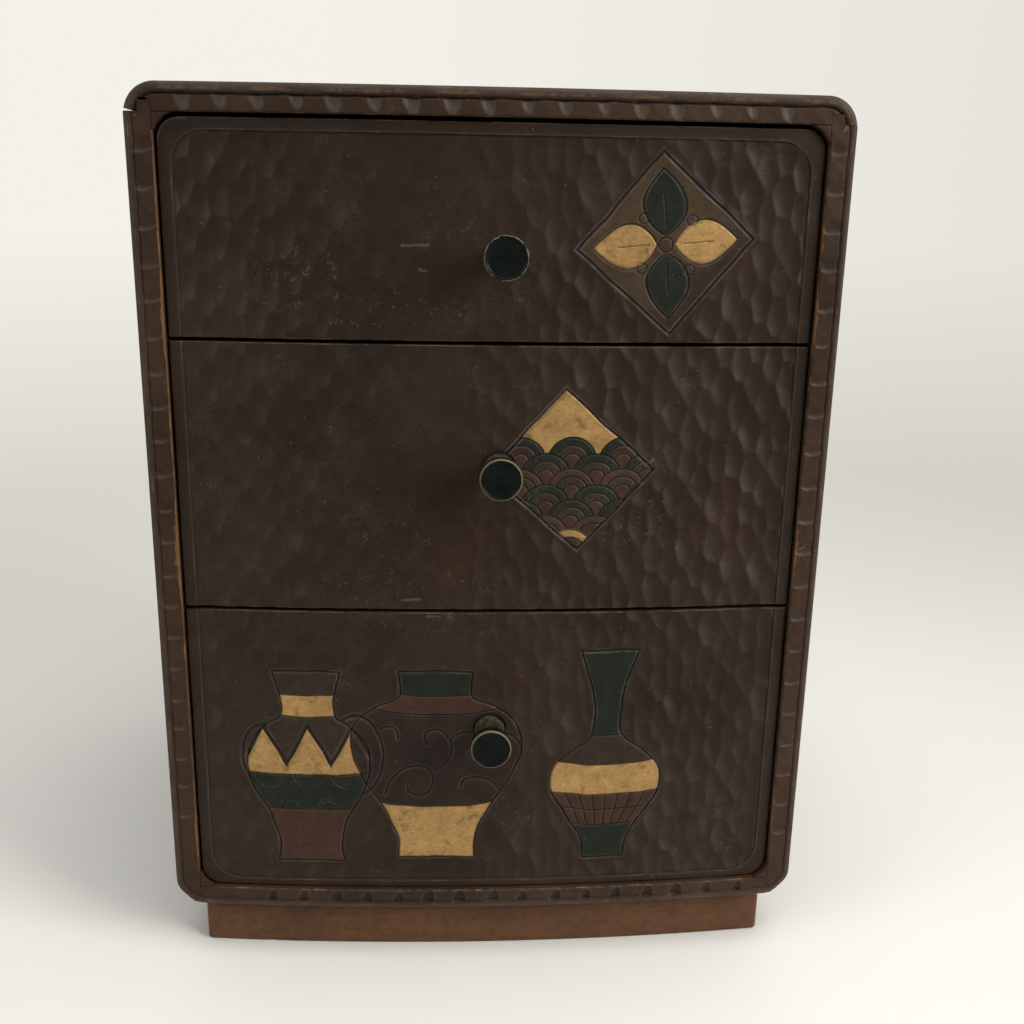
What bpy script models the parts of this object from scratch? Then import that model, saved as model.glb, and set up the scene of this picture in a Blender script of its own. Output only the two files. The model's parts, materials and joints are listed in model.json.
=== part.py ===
"""A carved wooden sewing box: a small chest with three drawers, standing on a plinth.

The front of the cabinet is bowed, and the drawer fronts follow the bow a little way behind
the frame. The three fronts lie edge to edge. Each drawer slides on two runners, has a bottom
let into grooves and a turned knob held by a screw from the inside.

Metres, +X to the right of someone who faces the front, -Y out of the front, +Z up. The origin
is on the floor, in the middle of the whole box with its knobs.
"""

import math
from typing import NamedTuple

import bmesh
import bpy
from mathutils import Matrix, Vector

# Cabinet
CABINET_WIDTH = 0.260
CABINET_DEPTH = 0.230
BOARD_THICKNESS = 0.010
BOTTOM_BOARD_THICKNESS = 0.0082
FRONT_BOW = 0.0072
OUTER_CORNER_RADIUS = 0.0115
LOWER_CORNER_CHAMFER = 0.0074
JOINT_GAP = 0.0003

# Lapped joint where the top and bottom boards meet the side boards
TONGUE_WIDTH = 0.0046
TONGUE_HEIGHT = 0.0036

# Bead round the frame, set off by a groove
BEAD_WIDTH = 0.0035
BEAD_GROOVE_WIDTH = 0.0012
BEAD_GROOVE_DEPTH = 0.0010

# Back panel, let into a rabbet and pegged
BACK_PANEL_THICKNESS = 0.006
RABBET_WIDTH = 0.0056
PEG_DIAMETER = 0.0020
PEG_GRIP = 0.008
PEG_HEIGHT_SHARES = (0.12, 0.5, 0.88)

# Plinth
PLINTH_HEIGHT = 0.024
PLINTH_SIDE_INSET = 0.0097
PLINTH_FRONT_INSET = 0.010
PLINTH_BACK_INSET = 0.004
PLINTH_BOARD = 0.010
PLINTH_CORNER_RADIUS = 0.0022

# Drawer fronts
TOP_FRONT_HEIGHT = 0.0767
MIDDLE_FRONT_HEIGHT = 0.1033
BOTTOM_FRONT_HEIGHT = 0.1219
GAP_ABOVE_FRONTS = 0.0015
GAP_BETWEEN_FRONTS = 0.0014
GAP_BELOW_FRONTS = 0.0006
GAP_BESIDE_FRONTS = 0.0012
FRONT_RECESS = 0.0025
FRONT_END_THICKNESS = 0.012
FRONT_CORNER_RADIUS = 0.008
FRONT_LAP = 0.006
FIELD_BORDER = 0.0052
FIELD_LOWER_BORDER = 0.0030
FIELD_DEPTH = 0.0010
FIELD_CORNER_RADIUS = 0.012

# Drawer boxes and the runners under them
DRAWER_SIDE_THICKNESS = 0.008
DRAWER_BACK_THICKNESS = 0.007
DRAWER_BOTTOM_THICKNESS = 0.004
BOTTOM_GROOVE_DEPTH = 0.003
BOTTOM_GROOVE_RISE = 0.004
RUNNER_RISE = 0.005
RUNNER_WIDTH = 0.009
RUNNER_SETBACK = 0.001

# Knobs and their screws
KNOB_PROJECTION = 0.0190
KNOB_SEAT_DEPTH = 0.0002
KNOB_HEAD_DIAMETER = 0.0160
KNOB_HEAD_THICKNESS = 0.0062
KNOB_HEAD_EDGE = 0.0009
KNOB_FACE_DISH = 0.0004
KNOB_NECK_DIAMETER = 0.0088
KNOB_FOOT_DIAMETER = 0.0120
KNOB_FOOT_THICKNESS = 0.0022
NECK_WAIST_SHARE = 0.35
SCREW_DIAMETER = 0.0030
SCREW_HEAD_DIAMETER = 0.0068
SCREW_HEAD_THICKNESS = 0.0020
SCREW_SLOT_WIDTH = 0.0008
SCREW_SLOT_DEPTH = 0.0010
SCREW_GRIP = 0.0085
SCREW_POINT = 0.0030
SCREW_CROWN_SHARE = 0.6

# Fineness of the curved shapes
BOW_STEPS = 27
CORNER_STEPS = 6
TURNED_STEPS = 28
PEG_STEPS = 10
OUTLINE_STEPS = 3
SHARP_EDGE_DEGREES = 40

# How far a cutter runs past what it cuts
OVERRUN = 0.004

# Levels and planes that follow from the sizes above
KNOB_REACH = FRONT_BOW - FRONT_RECESS - FIELD_DEPTH - KNOB_SEAT_DEPTH + JOINT_GAP + KNOB_PROJECTION
FRONT_Y = (KNOB_REACH - CABINET_DEPTH) / 2
BACK_Y = FRONT_Y + CABINET_DEPTH
HALF_WIDTH = CABINET_WIDTH / 2
HALF_OPENING = HALF_WIDTH - BOARD_THICKNESS
HALF_FRONT = HALF_OPENING - GAP_BESIDE_FRONTS
CABINET_LOW = PLINTH_HEIGHT
OPENING_LOW = CABINET_LOW + BOTTOM_BOARD_THICKNESS
BOTTOM_FRONT_LOW = OPENING_LOW + GAP_BELOW_FRONTS
MIDDLE_FRONT_LOW = BOTTOM_FRONT_LOW + BOTTOM_FRONT_HEIGHT + GAP_BETWEEN_FRONTS
TOP_FRONT_LOW = MIDDLE_FRONT_LOW + MIDDLE_FRONT_HEIGHT + GAP_BETWEEN_FRONTS
OPENING_HIGH = TOP_FRONT_LOW + TOP_FRONT_HEIGHT + GAP_ABOVE_FRONTS
CABINET_HIGH = OPENING_HIGH + BOARD_THICKNESS
PANEL_Y = BACK_Y - BACK_PANEL_THICKNESS
PEG_X = HALF_OPENING + RABBET_WIDTH / 2
BOW_RADIUS = (HALF_WIDTH**2 + FRONT_BOW**2) / (2 * FRONT_BOW)
FRONT_END_BOW = math.sqrt(BOW_RADIUS**2 - HALF_FRONT**2) - (BOW_RADIUS - FRONT_BOW)
FRONT_BACK_Y = FRONT_Y - FRONT_END_BOW + FRONT_RECESS + FRONT_END_THICKNESS

# Vase outlines as (half width, height) shares of the vase's height, from foot to lip
JAR_SHARES = (
    (0.160, 0.00), (0.150, 0.10), (0.185, 0.24), (0.262, 0.38), (0.292, 0.50), (0.276, 0.62),
    (0.200, 0.72), (0.132, 0.77), (0.124, 0.86), (0.160, 1.00),
)
URN_SHARES = (
    (0.185, 0.00), (0.190, 0.12), (0.255, 0.27), (0.350, 0.42), (0.412, 0.58), (0.392, 0.72),
    (0.290, 0.81), (0.182, 0.86), (0.170, 0.92), (0.180, 1.00),
)
BOTTLE_SHARES = (
    (0.090, 0.00), (0.105, 0.10), (0.175, 0.22), (0.238, 0.33), (0.236, 0.44), (0.165, 0.52),
    (0.075, 0.59), (0.056, 0.68), (0.070, 0.82), (0.126, 1.00),
)


class Finish(NamedTuple):
    """The look of one kind of surface."""

    colour: tuple
    roughness: float
    metallic: float = 0.0


FINISHES = {
    "carved_wood": Finish((0.045, 0.028, 0.021), 0.42),
    "plinth_wood": Finish((0.120, 0.052, 0.030), 0.50),
    "back_wood": Finish((0.090, 0.055, 0.036), 0.75),
    "plain_wood": Finish((0.520, 0.350, 0.200), 0.70),
    "knob_lacquer": Finish((0.008, 0.012, 0.011), 0.25),
    "peg_bamboo": Finish((0.560, 0.400, 0.190), 0.60),
    "screw_steel": Finish((0.400, 0.390, 0.370), 0.40, 1.0),
}


class Lozenge(NamedTuple):
    """A raised diamond: its centre as shares of the front, its half diagonal of its height."""

    across_share: float
    up_share: float
    reach_share: float


class Vase(NamedTuple):
    """A raised vase: axis, foot and height as shares of the front, and its outline."""

    across_share: float
    up_share: float
    height_share: float
    outline_shares: tuple


class Drawer(NamedTuple):
    """One drawer: where its front lies, which corners are round, its knob and its reliefs."""

    name: str
    low: float
    height: float
    round_top: bool
    round_bottom: bool
    knob_across_share: float
    knob_up_share: float
    reliefs: tuple


BOTTOM_RELIEFS = (
    Vase(across_share=0.192, up_share=0.097, height_share=0.710, outline_shares=JAR_SHARES),
    Vase(across_share=0.409, up_share=0.113, height_share=0.693, outline_shares=URN_SHARES),
    Vase(across_share=0.702, up_share=0.101, height_share=0.765, outline_shares=BOTTLE_SHARES),
)
MIDDLE_RELIEFS = (Lozenge(across_share=0.626, up_share=0.552, reach_share=0.305),)
TOP_RELIEFS = (Lozenge(across_share=0.761, up_share=0.480, reach_share=0.424),)

DRAWERS = (
    Drawer(
        name="bottom",
        low=BOTTOM_FRONT_LOW,
        height=BOTTOM_FRONT_HEIGHT,
        round_top=False,
        round_bottom=True,
        knob_across_share=0.500,
        knob_up_share=0.593,
        reliefs=BOTTOM_RELIEFS,
    ),
    Drawer(
        name="middle",
        low=MIDDLE_FRONT_LOW,
        height=MIDDLE_FRONT_HEIGHT,
        round_top=False,
        round_bottom=False,
        knob_across_share=0.510,
        knob_up_share=0.551,
        reliefs=MIDDLE_RELIEFS,
    ),
    Drawer(
        name="top",
        low=TOP_FRONT_LOW,
        height=TOP_FRONT_HEIGHT,
        round_top=True,
        round_bottom=False,
        knob_across_share=0.513,
        knob_up_share=0.407,
        reliefs=TOP_RELIEFS,
    ),
)


def clear_scene():
    """Remove every object that the scene starts with."""
    for thing in list(bpy.data.objects):
        bpy.data.objects.remove(thing)


def finish_material(name):
    """Return the material of a finish, made the first time it is asked for."""
    material = bpy.data.materials.get(name)
    if material is None:
        finish = FINISHES[name]
        material = bpy.data.materials.new(name)
        material.use_nodes = True
        shader = material.node_tree.nodes["Principled BSDF"]
        shader.inputs["Base Color"].default_value = (*finish.colour, 1.0)
        shader.inputs["Roughness"].default_value = finish.roughness
        shader.inputs["Metallic"].default_value = finish.metallic
    return material


def new_piece(name, shape, finish=None):
    """Turn a bmesh into an object whose faces point outwards."""
    bmesh.ops.recalc_face_normals(shape, faces=shape.faces)
    mesh = bpy.data.meshes.new(name)
    shape.to_mesh(mesh)
    shape.free()
    piece = bpy.data.objects.new(name, mesh)
    bpy.context.collection.objects.link(piece)
    if finish:
        mesh.materials.append(finish_material(finish))
    return piece


def prism(name, outline, start, stop, finish=None):
    """Close an outline of 3-D points and extrude it from start to stop, two offsets."""
    shape = bmesh.new()
    corners = [shape.verts.new(Vector(point) + Vector(start)) for point in outline]
    face = shape.faces.new(corners)
    run = Vector(stop) - Vector(start)
    grown = bmesh.ops.extrude_face_region(shape, geom=[face])
    moved = [item for item in grown["geom"] if isinstance(item, bmesh.types.BMVert)]
    bmesh.ops.translate(shape, verts=moved, vec=run)
    return new_piece(name, shape, finish)


def prism_along_y(name, outline, low, high, finish=None):
    """Extrude an outline of (x, z) points from y = low to y = high."""
    return prism(name, [(x, 0, z) for x, z in outline], (0, low, 0), (0, high, 0), finish)


def prism_along_z(name, outline, low, high, finish=None):
    """Extrude an outline of (x, y) points from z = low to z = high."""
    return prism(name, [(x, y, 0) for x, y in outline], (0, 0, low), (0, 0, high), finish)


def block(name, low, high, finish=None):
    """Make a rectangular block between two opposite corners."""
    outline = [(low[0], low[2]), (high[0], low[2]), (high[0], high[2]), (low[0], high[2])]
    return prism_along_y(name, outline, low[1], high[1], finish)


def turned(name, profile, steps, finish=None):
    """Turn a profile of (radius, reach) points about an axis that runs along -Y.

    The profile starts and ends on the axis, where its radius is zero.
    """
    shape = bmesh.new()
    rings = []
    for radius, reach in profile:
        if radius == 0:
            rings.append([shape.verts.new((0, -reach, 0))] * steps)
            continue
        angles = [math.tau * step / steps for step in range(steps)]
        rings.append([
            shape.verts.new((radius * math.cos(angle), -reach, radius * math.sin(angle)))
            for angle in angles
        ])
    for ring, after in zip(rings, rings[1:]):
        for step in range(steps):
            following = (step + 1) % steps
            loop = [ring[step], ring[following], after[following], after[step]]
            shape.faces.new(list(dict.fromkeys(loop)))
    return new_piece(name, shape, finish)


def combine(piece, other, operation="DIFFERENCE"):
    """Cut, join or intersect a piece with another, which is used up."""
    other.hide_render = True
    other.display_type = "WIRE"
    modifier = piece.modifiers.new(other.name, "BOOLEAN")
    modifier.operation = operation
    modifier.solver = "EXACT"
    modifier.object = other
    with bpy.context.temp_override(object=piece, active_object=piece):
        bpy.ops.object.modifier_apply(modifier=modifier.name)
    bpy.data.objects.remove(other)
    return piece


def seat(piece, origin, parent=None):
    """Give a piece its own origin, and hang it on a parent that stands at rest."""
    piece.data.transform(Matrix.Translation(-Vector(origin)))
    piece.location = Vector(origin)
    if parent:
        piece.parent = parent
        piece.location -= parent.location
    return piece


def smooth(piece):
    """Shade a turned piece smooth, with its sharp edges kept."""
    piece.data.shade_smooth()
    piece.data.set_sharp_from_angle(angle=math.radians(SHARP_EDGE_DEGREES))
    return piece


def bow(x):
    """How far the frame's front stands forward of its corners at x."""
    return math.sqrt(BOW_RADIUS**2 - x**2) - (BOW_RADIUS - FRONT_BOW)


def bowed_plan(half_width, inset, back):
    """Plan outline with a bowed front, inset behind the frame's front, and a straight back."""
    points = []
    for step in range(BOW_STEPS + 1):
        x = half_width * (2 * step / BOW_STEPS - 1)
        points.append((x, FRONT_Y + inset - bow(x)))
    return points + [(half_width, back), (-half_width, back)]


def bowed_slab(name, inset, back, low, high):
    """A slab wider than the cabinet, behind the bowed surface at an inset."""
    return prism_along_z(name, bowed_plan(HALF_WIDTH + OVERRUN, inset, back), low, high)


def arc(centre_x, centre_z, radius, start, stop):
    """Points of an arc, with its angles in quarter turns from +X towards +Z."""
    points = []
    for step in range(CORNER_STEPS + 1):
        angle = (start + (stop - start) * step / CORNER_STEPS) * math.pi / 2
        points.append((centre_x + radius * math.cos(angle), centre_z + radius * math.sin(angle)))
    return points


def rounded_outline(half_width, low, high, bottom_radius, top_radius):
    """Rectangle outline centred on x = 0, with its lower and upper corners rounded."""
    points = []
    quarters = ((1, 1, top_radius), (-1, 1, top_radius), (-1, -1, bottom_radius), (1, -1, bottom_radius))
    for quarter, (side, upward, radius) in enumerate(quarters):
        edge = high if upward > 0 else low
        if radius == 0:
            points.append((side * half_width, edge))
            continue
        points += arc(side * (half_width - radius), edge - upward * radius, radius, quarter, quarter + 1)
    return points


def plan_with_round_ends(half_width, inset, back, radius):
    """Plan of a bowed rail whose two front corners are rounded."""
    straight = half_width - radius
    front = FRONT_Y + inset - bow(straight)
    points = arc(-straight, front + radius, radius, 2, 3)
    for step in range(1, BOW_STEPS):
        x = straight * (2 * step / BOW_STEPS - 1)
        points.append((x, FRONT_Y + inset - bow(x)))
    points += arc(straight, front + radius, radius, 3, 4)
    return points + [(half_width, back), (-half_width, back)]


def cabinet_outline(inset):
    """The cabinet's outline, set in all round: round corners above, chamfered ones below."""
    half = HALF_WIDTH - inset
    low = CABINET_LOW + inset
    high = CABINET_HIGH - inset
    radius = OUTER_CORNER_RADIUS - inset
    cut = LOWER_CORNER_CHAMFER - (2 - math.sqrt(2)) * inset
    points = arc(half - radius, high - radius, radius, 0, 1)
    points += arc(radius - half, high - radius, radius, 1, 2)
    return points + [(-half, low + cut), (cut - half, low), (half - cut, low), (half, low + cut)]


def inset_prism(name, inset, near, far):
    """A prism along the depth, whose outline is the cabinet's, set in all round."""
    return prism_along_y(name, cabinet_outline(inset), near, far)


def bead_groove():
    """A cutter for the groove that sets the bead off from the rest of the frame."""
    near = FRONT_Y - FRONT_BOW - OVERRUN
    far = FRONT_Y + OVERRUN
    groove = inset_prism("bead_edge", BEAD_WIDTH, near, far)
    inside = inset_prism("band_edge", BEAD_WIDTH + BEAD_GROOVE_WIDTH, near - OVERRUN, far + OVERRUN)
    combine(groove, inside)
    low = CABINET_LOW - OVERRUN
    high = CABINET_HIGH + OVERRUN
    return combine(groove, bowed_slab("groove_floor", BEAD_GROOVE_DEPTH, BACK_Y, low, high))


def cabinet_envelope():
    """The space that the frame boards fill: round corners, bowed front, bead groove, rabbet."""
    near = FRONT_Y - FRONT_BOW - OVERRUN
    low = CABINET_LOW - OVERRUN
    high = CABINET_HIGH + OVERRUN
    envelope = inset_prism("envelope", 0, near, BACK_Y)
    combine(envelope, bowed_slab("bowed_front", 0, BACK_Y + OVERRUN, low, high), "INTERSECT")
    combine(envelope, bead_groove())
    rabbet = block(
        "rabbet",
        (-HALF_OPENING - RABBET_WIDTH, PANEL_Y - JOINT_GAP, OPENING_LOW - RABBET_WIDTH),
        (HALF_OPENING + RABBET_WIDTH, BACK_Y + OVERRUN, OPENING_HIGH + RABBET_WIDTH),
    )
    return combine(envelope, rabbet)


def frame_board(name, outline):
    """A cabinet board: its outline run through the depth and trimmed to the cabinet's form."""
    near = FRONT_Y - FRONT_BOW - OVERRUN
    board = prism_along_y(name, outline, near, BACK_Y + OVERRUN, "carved_wood")
    return combine(board, cabinet_envelope(), "INTERSECT")


def end_board_outline(shoulder, outside):
    """Outline of the top or bottom board: each end is stepped over a side board's tongue."""
    away = 1 if outside > shoulder else -1
    housing = shoulder + away * (TONGUE_HEIGHT + JOINT_GAP)
    tongue_inside = HALF_OPENING - JOINT_GAP
    tongue_outside = HALF_OPENING + TONGUE_WIDTH + JOINT_GAP
    end = HALF_WIDTH + OVERRUN
    edge = outside + away * OVERRUN
    right = [
        (tongue_inside, shoulder),
        (tongue_inside, housing),
        (tongue_outside, housing),
        (tongue_outside, shoulder),
        (end, shoulder),
        (end, edge),
    ]
    return right + [(-x, z) for x, z in reversed(right)]


def side_board_outline(side):
    """Outline of a side board, with a tongue along the inner part of each end."""
    tongue_outside = HALF_OPENING + TONGUE_WIDTH
    upper = OPENING_HIGH - JOINT_GAP
    lower = OPENING_LOW + JOINT_GAP
    outline = [
        (HALF_OPENING, OPENING_LOW - TONGUE_HEIGHT),
        (tongue_outside, OPENING_LOW - TONGUE_HEIGHT),
        (tongue_outside, lower),
        (HALF_WIDTH + OVERRUN, lower),
        (HALF_WIDTH + OVERRUN, upper),
        (tongue_outside, upper),
        (tongue_outside, OPENING_HIGH + TONGUE_HEIGHT),
        (HALF_OPENING, OPENING_HIGH + TONGUE_HEIGHT),
    ]
    return [(side * x, z) for x, z in outline]


def corner_block_outline(side, upward):
    """Outline of the block that rounds one inner corner of the opening."""
    edge = OPENING_HIGH if upward > 0 else OPENING_LOW
    edge_gap = GAP_ABOVE_FRONTS if upward > 0 else GAP_BELOW_FRONTS
    across = HALF_OPENING - JOINT_GAP - (HALF_FRONT - FRONT_CORNER_RADIUS)
    rise = edge_gap + FRONT_CORNER_RADIUS - JOINT_GAP
    radius = FRONT_CORNER_RADIUS + max(edge_gap, GAP_BESIDE_FRONTS)
    centre_x = HALF_FRONT - FRONT_CORNER_RADIUS
    centre_z = edge - upward * (edge_gap + FRONT_CORNER_RADIUS)
    first = math.acos(across / radius) / (math.pi / 2)
    last = math.asin(rise / radius) / (math.pi / 2)
    points = arc(0, 0, radius, first, last) + [(across, rise)]
    return [(side * (centre_x + x), centre_z + upward * z) for x, z in points]


def build_frame():
    """Make the four boards of the cabinet, lapped at the corners."""
    seat(frame_board("top_board", end_board_outline(OPENING_HIGH, CABINET_HIGH)), (0, 0, OPENING_HIGH))
    seat(frame_board("bottom_board", end_board_outline(OPENING_LOW, CABINET_LOW)), (0, 0, CABINET_LOW))
    for name, side in (("left", -1), ("right", 1)):
        board = frame_board(f"{name}_side", side_board_outline(side))
        for height, z in peg_places():
            hole = peg_hole(f"{height}_hole", side, z, PEG_GRIP + JOINT_GAP)
            combine(board, hole)
        seat(board, (side * HALF_WIDTH, 0, OPENING_LOW))


def build_corner_blocks():
    """Make the four small blocks that round the inner corners of the opening."""
    back = FRONT_BACK_Y - FRONT_LAP - JOINT_GAP
    for level, upward in (("upper", 1), ("lower", -1)):
        for name, side in (("left", -1), ("right", 1)):
            outline = corner_block_outline(side, upward)
            near = FRONT_Y - FRONT_BOW - OVERRUN
            piece = prism_along_y(f"{level}_{name}_corner_block", outline, near, back, "carved_wood")
            slab = bowed_slab("bowed_front", 0, BACK_Y, CABINET_LOW, CABINET_HIGH)
            combine(piece, slab, "INTERSECT")
            seat(piece, (side * HALF_OPENING, back, OPENING_HIGH if upward > 0 else OPENING_LOW))


def peg_places():
    """Names and heights of the pegs along one side of the back panel."""
    heights = [OPENING_LOW + share * (OPENING_HIGH - OPENING_LOW) for share in PEG_HEIGHT_SHARES]
    return list(zip(("low", "middle", "high"), heights))


def peg_hole(name, side, z, depth):
    """A cutter for a peg's hole, from behind the cabinet to a depth in front of the panel."""
    radius = PEG_DIAMETER / 2 + JOINT_GAP
    run = BACK_PANEL_THICKNESS + depth + OVERRUN
    hole = turned(name, [(0, 0), (radius, 0), (radius, run), (0, run)], PEG_STEPS)
    hole.data.transform(Matrix.Translation((side * PEG_X, BACK_Y + OVERRUN, z)))
    return hole


def build_back_panel():
    """Make the back panel and the bamboo pegs that hold it in its rabbet."""
    reach = RABBET_WIDTH - JOINT_GAP
    panel = block(
        "back_panel",
        (-HALF_OPENING - reach, PANEL_Y, OPENING_LOW - reach),
        (HALF_OPENING + reach, BACK_Y, OPENING_HIGH + reach),
        "back_wood",
    )
    length = BACK_PANEL_THICKNESS + PEG_GRIP
    radius = PEG_DIAMETER / 2
    profile = [(0, 0), (radius, 0), (radius, length - PEG_DIAMETER), (radius / 2, length), (0, length)]
    for name, side in (("left", -1), ("right", 1)):
        for height, z in peg_places():
            combine(panel, peg_hole(f"{height}_hole", side, z, OVERRUN))
            peg = turned(f"{name}_{height}_peg", profile, PEG_STEPS, "peg_bamboo")
            peg.location = (side * PEG_X, BACK_Y, z)
    seat(panel, (0, PANEL_Y, OPENING_LOW))


def build_plinth():
    """Make the four rails of the plinth, set in from the cabinet's faces."""
    half = HALF_WIDTH - PLINTH_SIDE_INSET
    high = PLINTH_HEIGHT - JOINT_GAP
    front_back = FRONT_Y + PLINTH_FRONT_INSET - bow(half) + PLINTH_BOARD
    rear = BACK_Y - PLINTH_BACK_INSET
    rear_front = rear - PLINTH_BOARD
    plan = plan_with_round_ends(half, PLINTH_FRONT_INSET, front_back, PLINTH_CORNER_RADIUS)
    seat(prism_along_z("plinth_front", plan, 0, high, "plinth_wood"), (0, front_back, 0))
    plan = rounded_outline(half, rear_front, rear, 0, PLINTH_CORNER_RADIUS)
    seat(prism_along_z("plinth_back", plan, 0, high, "plinth_wood"), (0, rear, 0))
    for name, side in (("left", -1), ("right", 1)):
        inside = side * (half - PLINTH_BOARD)
        low = (min(side * half, inside), front_back + JOINT_GAP, 0)
        top = (max(side * half, inside), rear_front - JOINT_GAP, high)
        seat(block(f"plinth_{name}", low, top, "plinth_wood"), (side * half, front_back, 0))


def build_runners(drawer):
    """Make the pair of runners that a drawer slides on, fixed to the side boards."""
    low = OPENING_LOW + JOINT_GAP if drawer.low == BOTTOM_FRONT_LOW else drawer.low
    high = drawer.low + RUNNER_RISE - JOINT_GAP
    outside = HALF_OPENING - JOINT_GAP
    near = FRONT_BACK_Y + RUNNER_SETBACK
    for name, side in (("left", -1), ("right", 1)):
        edges = sorted((side * outside, side * (outside - RUNNER_WIDTH)))
        piece = block(
            f"{drawer.name}_{name}_runner",
            (edges[0], near, low),
            (edges[1], PANEL_Y - JOINT_GAP, high),
            "plain_wood",
        )
        seat(piece, (side * HALF_OPENING, near, low))


def smooth_outline(shares, height):
    """Half of a turned outline in (half width, height), smooth through its listed points."""
    points = [Vector(share) * height for share in shares]
    ends = [2 * points[0] - points[1]] + points + [2 * points[-1] - points[-2]]
    curve = []
    for index in range(1, len(points)):
        before, start, stop, after = ends[index - 1:index + 3]
        for step in range(OUTLINE_STEPS):
            t = step / OUTLINE_STEPS
            pull = (stop - before) * t + (2 * before - 5 * start + 4 * stop - after) * t**2
            pull += (3 * start - before - 3 * stop + after) * t**3
            curve.append(start + pull / 2)
    return [(point.x, point.y) for point in curve + [points[-1]]]


def relief_outline(relief, drawer):
    """Outline in (x, z) of a raised figure on a drawer's front."""
    centre = HALF_FRONT * (2 * relief.across_share - 1)
    level = drawer.low + relief.up_share * drawer.height
    if isinstance(relief, Lozenge):
        reach = relief.reach_share * drawer.height
        turns = ((0, -1), (1, 0), (0, 1), (-1, 0))
        return [(centre + across * reach, level + up * reach) for across, up in turns]
    half = smooth_outline(relief.outline_shares, relief.height_share * drawer.height)
    right = [(centre + x, level + z) for x, z in half]
    left = [(centre - x, level + z) for x, z in reversed(half)]
    return right + left


def field_cutter(drawer):
    """What is cut away round a front's raised figures, down to the carved field."""
    low = drawer.low + FIELD_LOWER_BORDER if drawer.round_bottom else drawer.low - OVERRUN
    high = drawer.low + drawer.height
    high += -FIELD_BORDER if drawer.round_top else OVERRUN
    bottom_radius = FIELD_CORNER_RADIUS if drawer.round_bottom else 0
    top_radius = FIELD_CORNER_RADIUS if drawer.round_top else 0
    outline = rounded_outline(HALF_FRONT - FIELD_BORDER, low, high, bottom_radius, top_radius)
    near = FRONT_Y - FRONT_BOW - OVERRUN
    cutter = prism_along_y(f"{drawer.name}_field", outline, near, FRONT_Y + OVERRUN)
    inset = FRONT_RECESS + FIELD_DEPTH
    combine(cutter, bowed_slab("field_floor", inset, BACK_Y, low - OVERRUN, high + OVERRUN))
    for relief in drawer.reliefs:
        figure = prism_along_y("figure", relief_outline(relief, drawer), near - OVERRUN, BACK_Y)
        combine(cutter, figure)
    return cutter


def knob_place(drawer):
    """Where the middle of a knob's foot sits on its front."""
    x = HALF_FRONT * (2 * drawer.knob_across_share - 1)
    z = drawer.low + drawer.knob_up_share * drawer.height
    return Vector((x, FRONT_Y - bow(x) + FRONT_RECESS + FIELD_DEPTH + KNOB_SEAT_DEPTH, z))


def knob_hole(drawer):
    """The flat seat for a knob's foot and the screw's hole behind it, in one cutter."""
    place = knob_place(drawer)
    near = FRONT_Y - FRONT_BOW - OVERRUN
    far = FRONT_BACK_Y + OVERRUN
    seat_radius = KNOB_FOOT_DIAMETER / 2 + JOINT_GAP
    hole_radius = SCREW_DIAMETER / 2 + JOINT_GAP
    profile = [
        (0, 0),
        (hole_radius, 0),
        (hole_radius, far - place.y),
        (seat_radius, far - place.y),
        (seat_radius, far - near),
        (0, far - near),
    ]
    cutter = turned(f"{drawer.name}_knob_hole", profile, TURNED_STEPS)
    cutter.data.transform(Matrix.Translation((place.x, far, place.z)))
    return cutter


def build_front(drawer, side_low, side_high, panel_low):
    """Make a drawer's bowed front with its field, figures, laps, groove and screw hole."""
    low = drawer.low
    high = drawer.low + drawer.height
    bottom_radius = FRONT_CORNER_RADIUS if drawer.round_bottom else 0
    top_radius = FRONT_CORNER_RADIUS if drawer.round_top else 0
    outline = rounded_outline(HALF_FRONT, low, high, bottom_radius, top_radius)
    near = FRONT_Y - FRONT_BOW - OVERRUN
    front = prism_along_y(f"{drawer.name}_drawer_front", outline, near, BACK_Y, "carved_wood")
    slab = bowed_slab("bowed_front", FRONT_RECESS, FRONT_BACK_Y, low - OVERRUN, high + OVERRUN)
    combine(front, slab, "INTERSECT")
    shoulder = HALF_FRONT - DRAWER_SIDE_THICKNESS - JOINT_GAP
    for side in (-1, 1):
        edges = sorted((side * shoulder, side * (HALF_FRONT + OVERRUN)))
        lap = block(
            "lap",
            (edges[0], FRONT_BACK_Y - FRONT_LAP, side_low - JOINT_GAP),
            (edges[1], FRONT_BACK_Y + OVERRUN, side_high + JOINT_GAP),
        )
        combine(front, lap)
    groove_end = HALF_FRONT - DRAWER_SIDE_THICKNESS + BOTTOM_GROOVE_DEPTH
    groove = block(
        "groove",
        (-groove_end, FRONT_BACK_Y - BOTTOM_GROOVE_DEPTH, panel_low - JOINT_GAP),
        (groove_end, FRONT_BACK_Y + OVERRUN, panel_low + DRAWER_BOTTOM_THICKNESS + JOINT_GAP),
    )
    combine(front, groove)
    combine(front, field_cutter(drawer))
    return combine(front, knob_hole(drawer))


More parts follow.
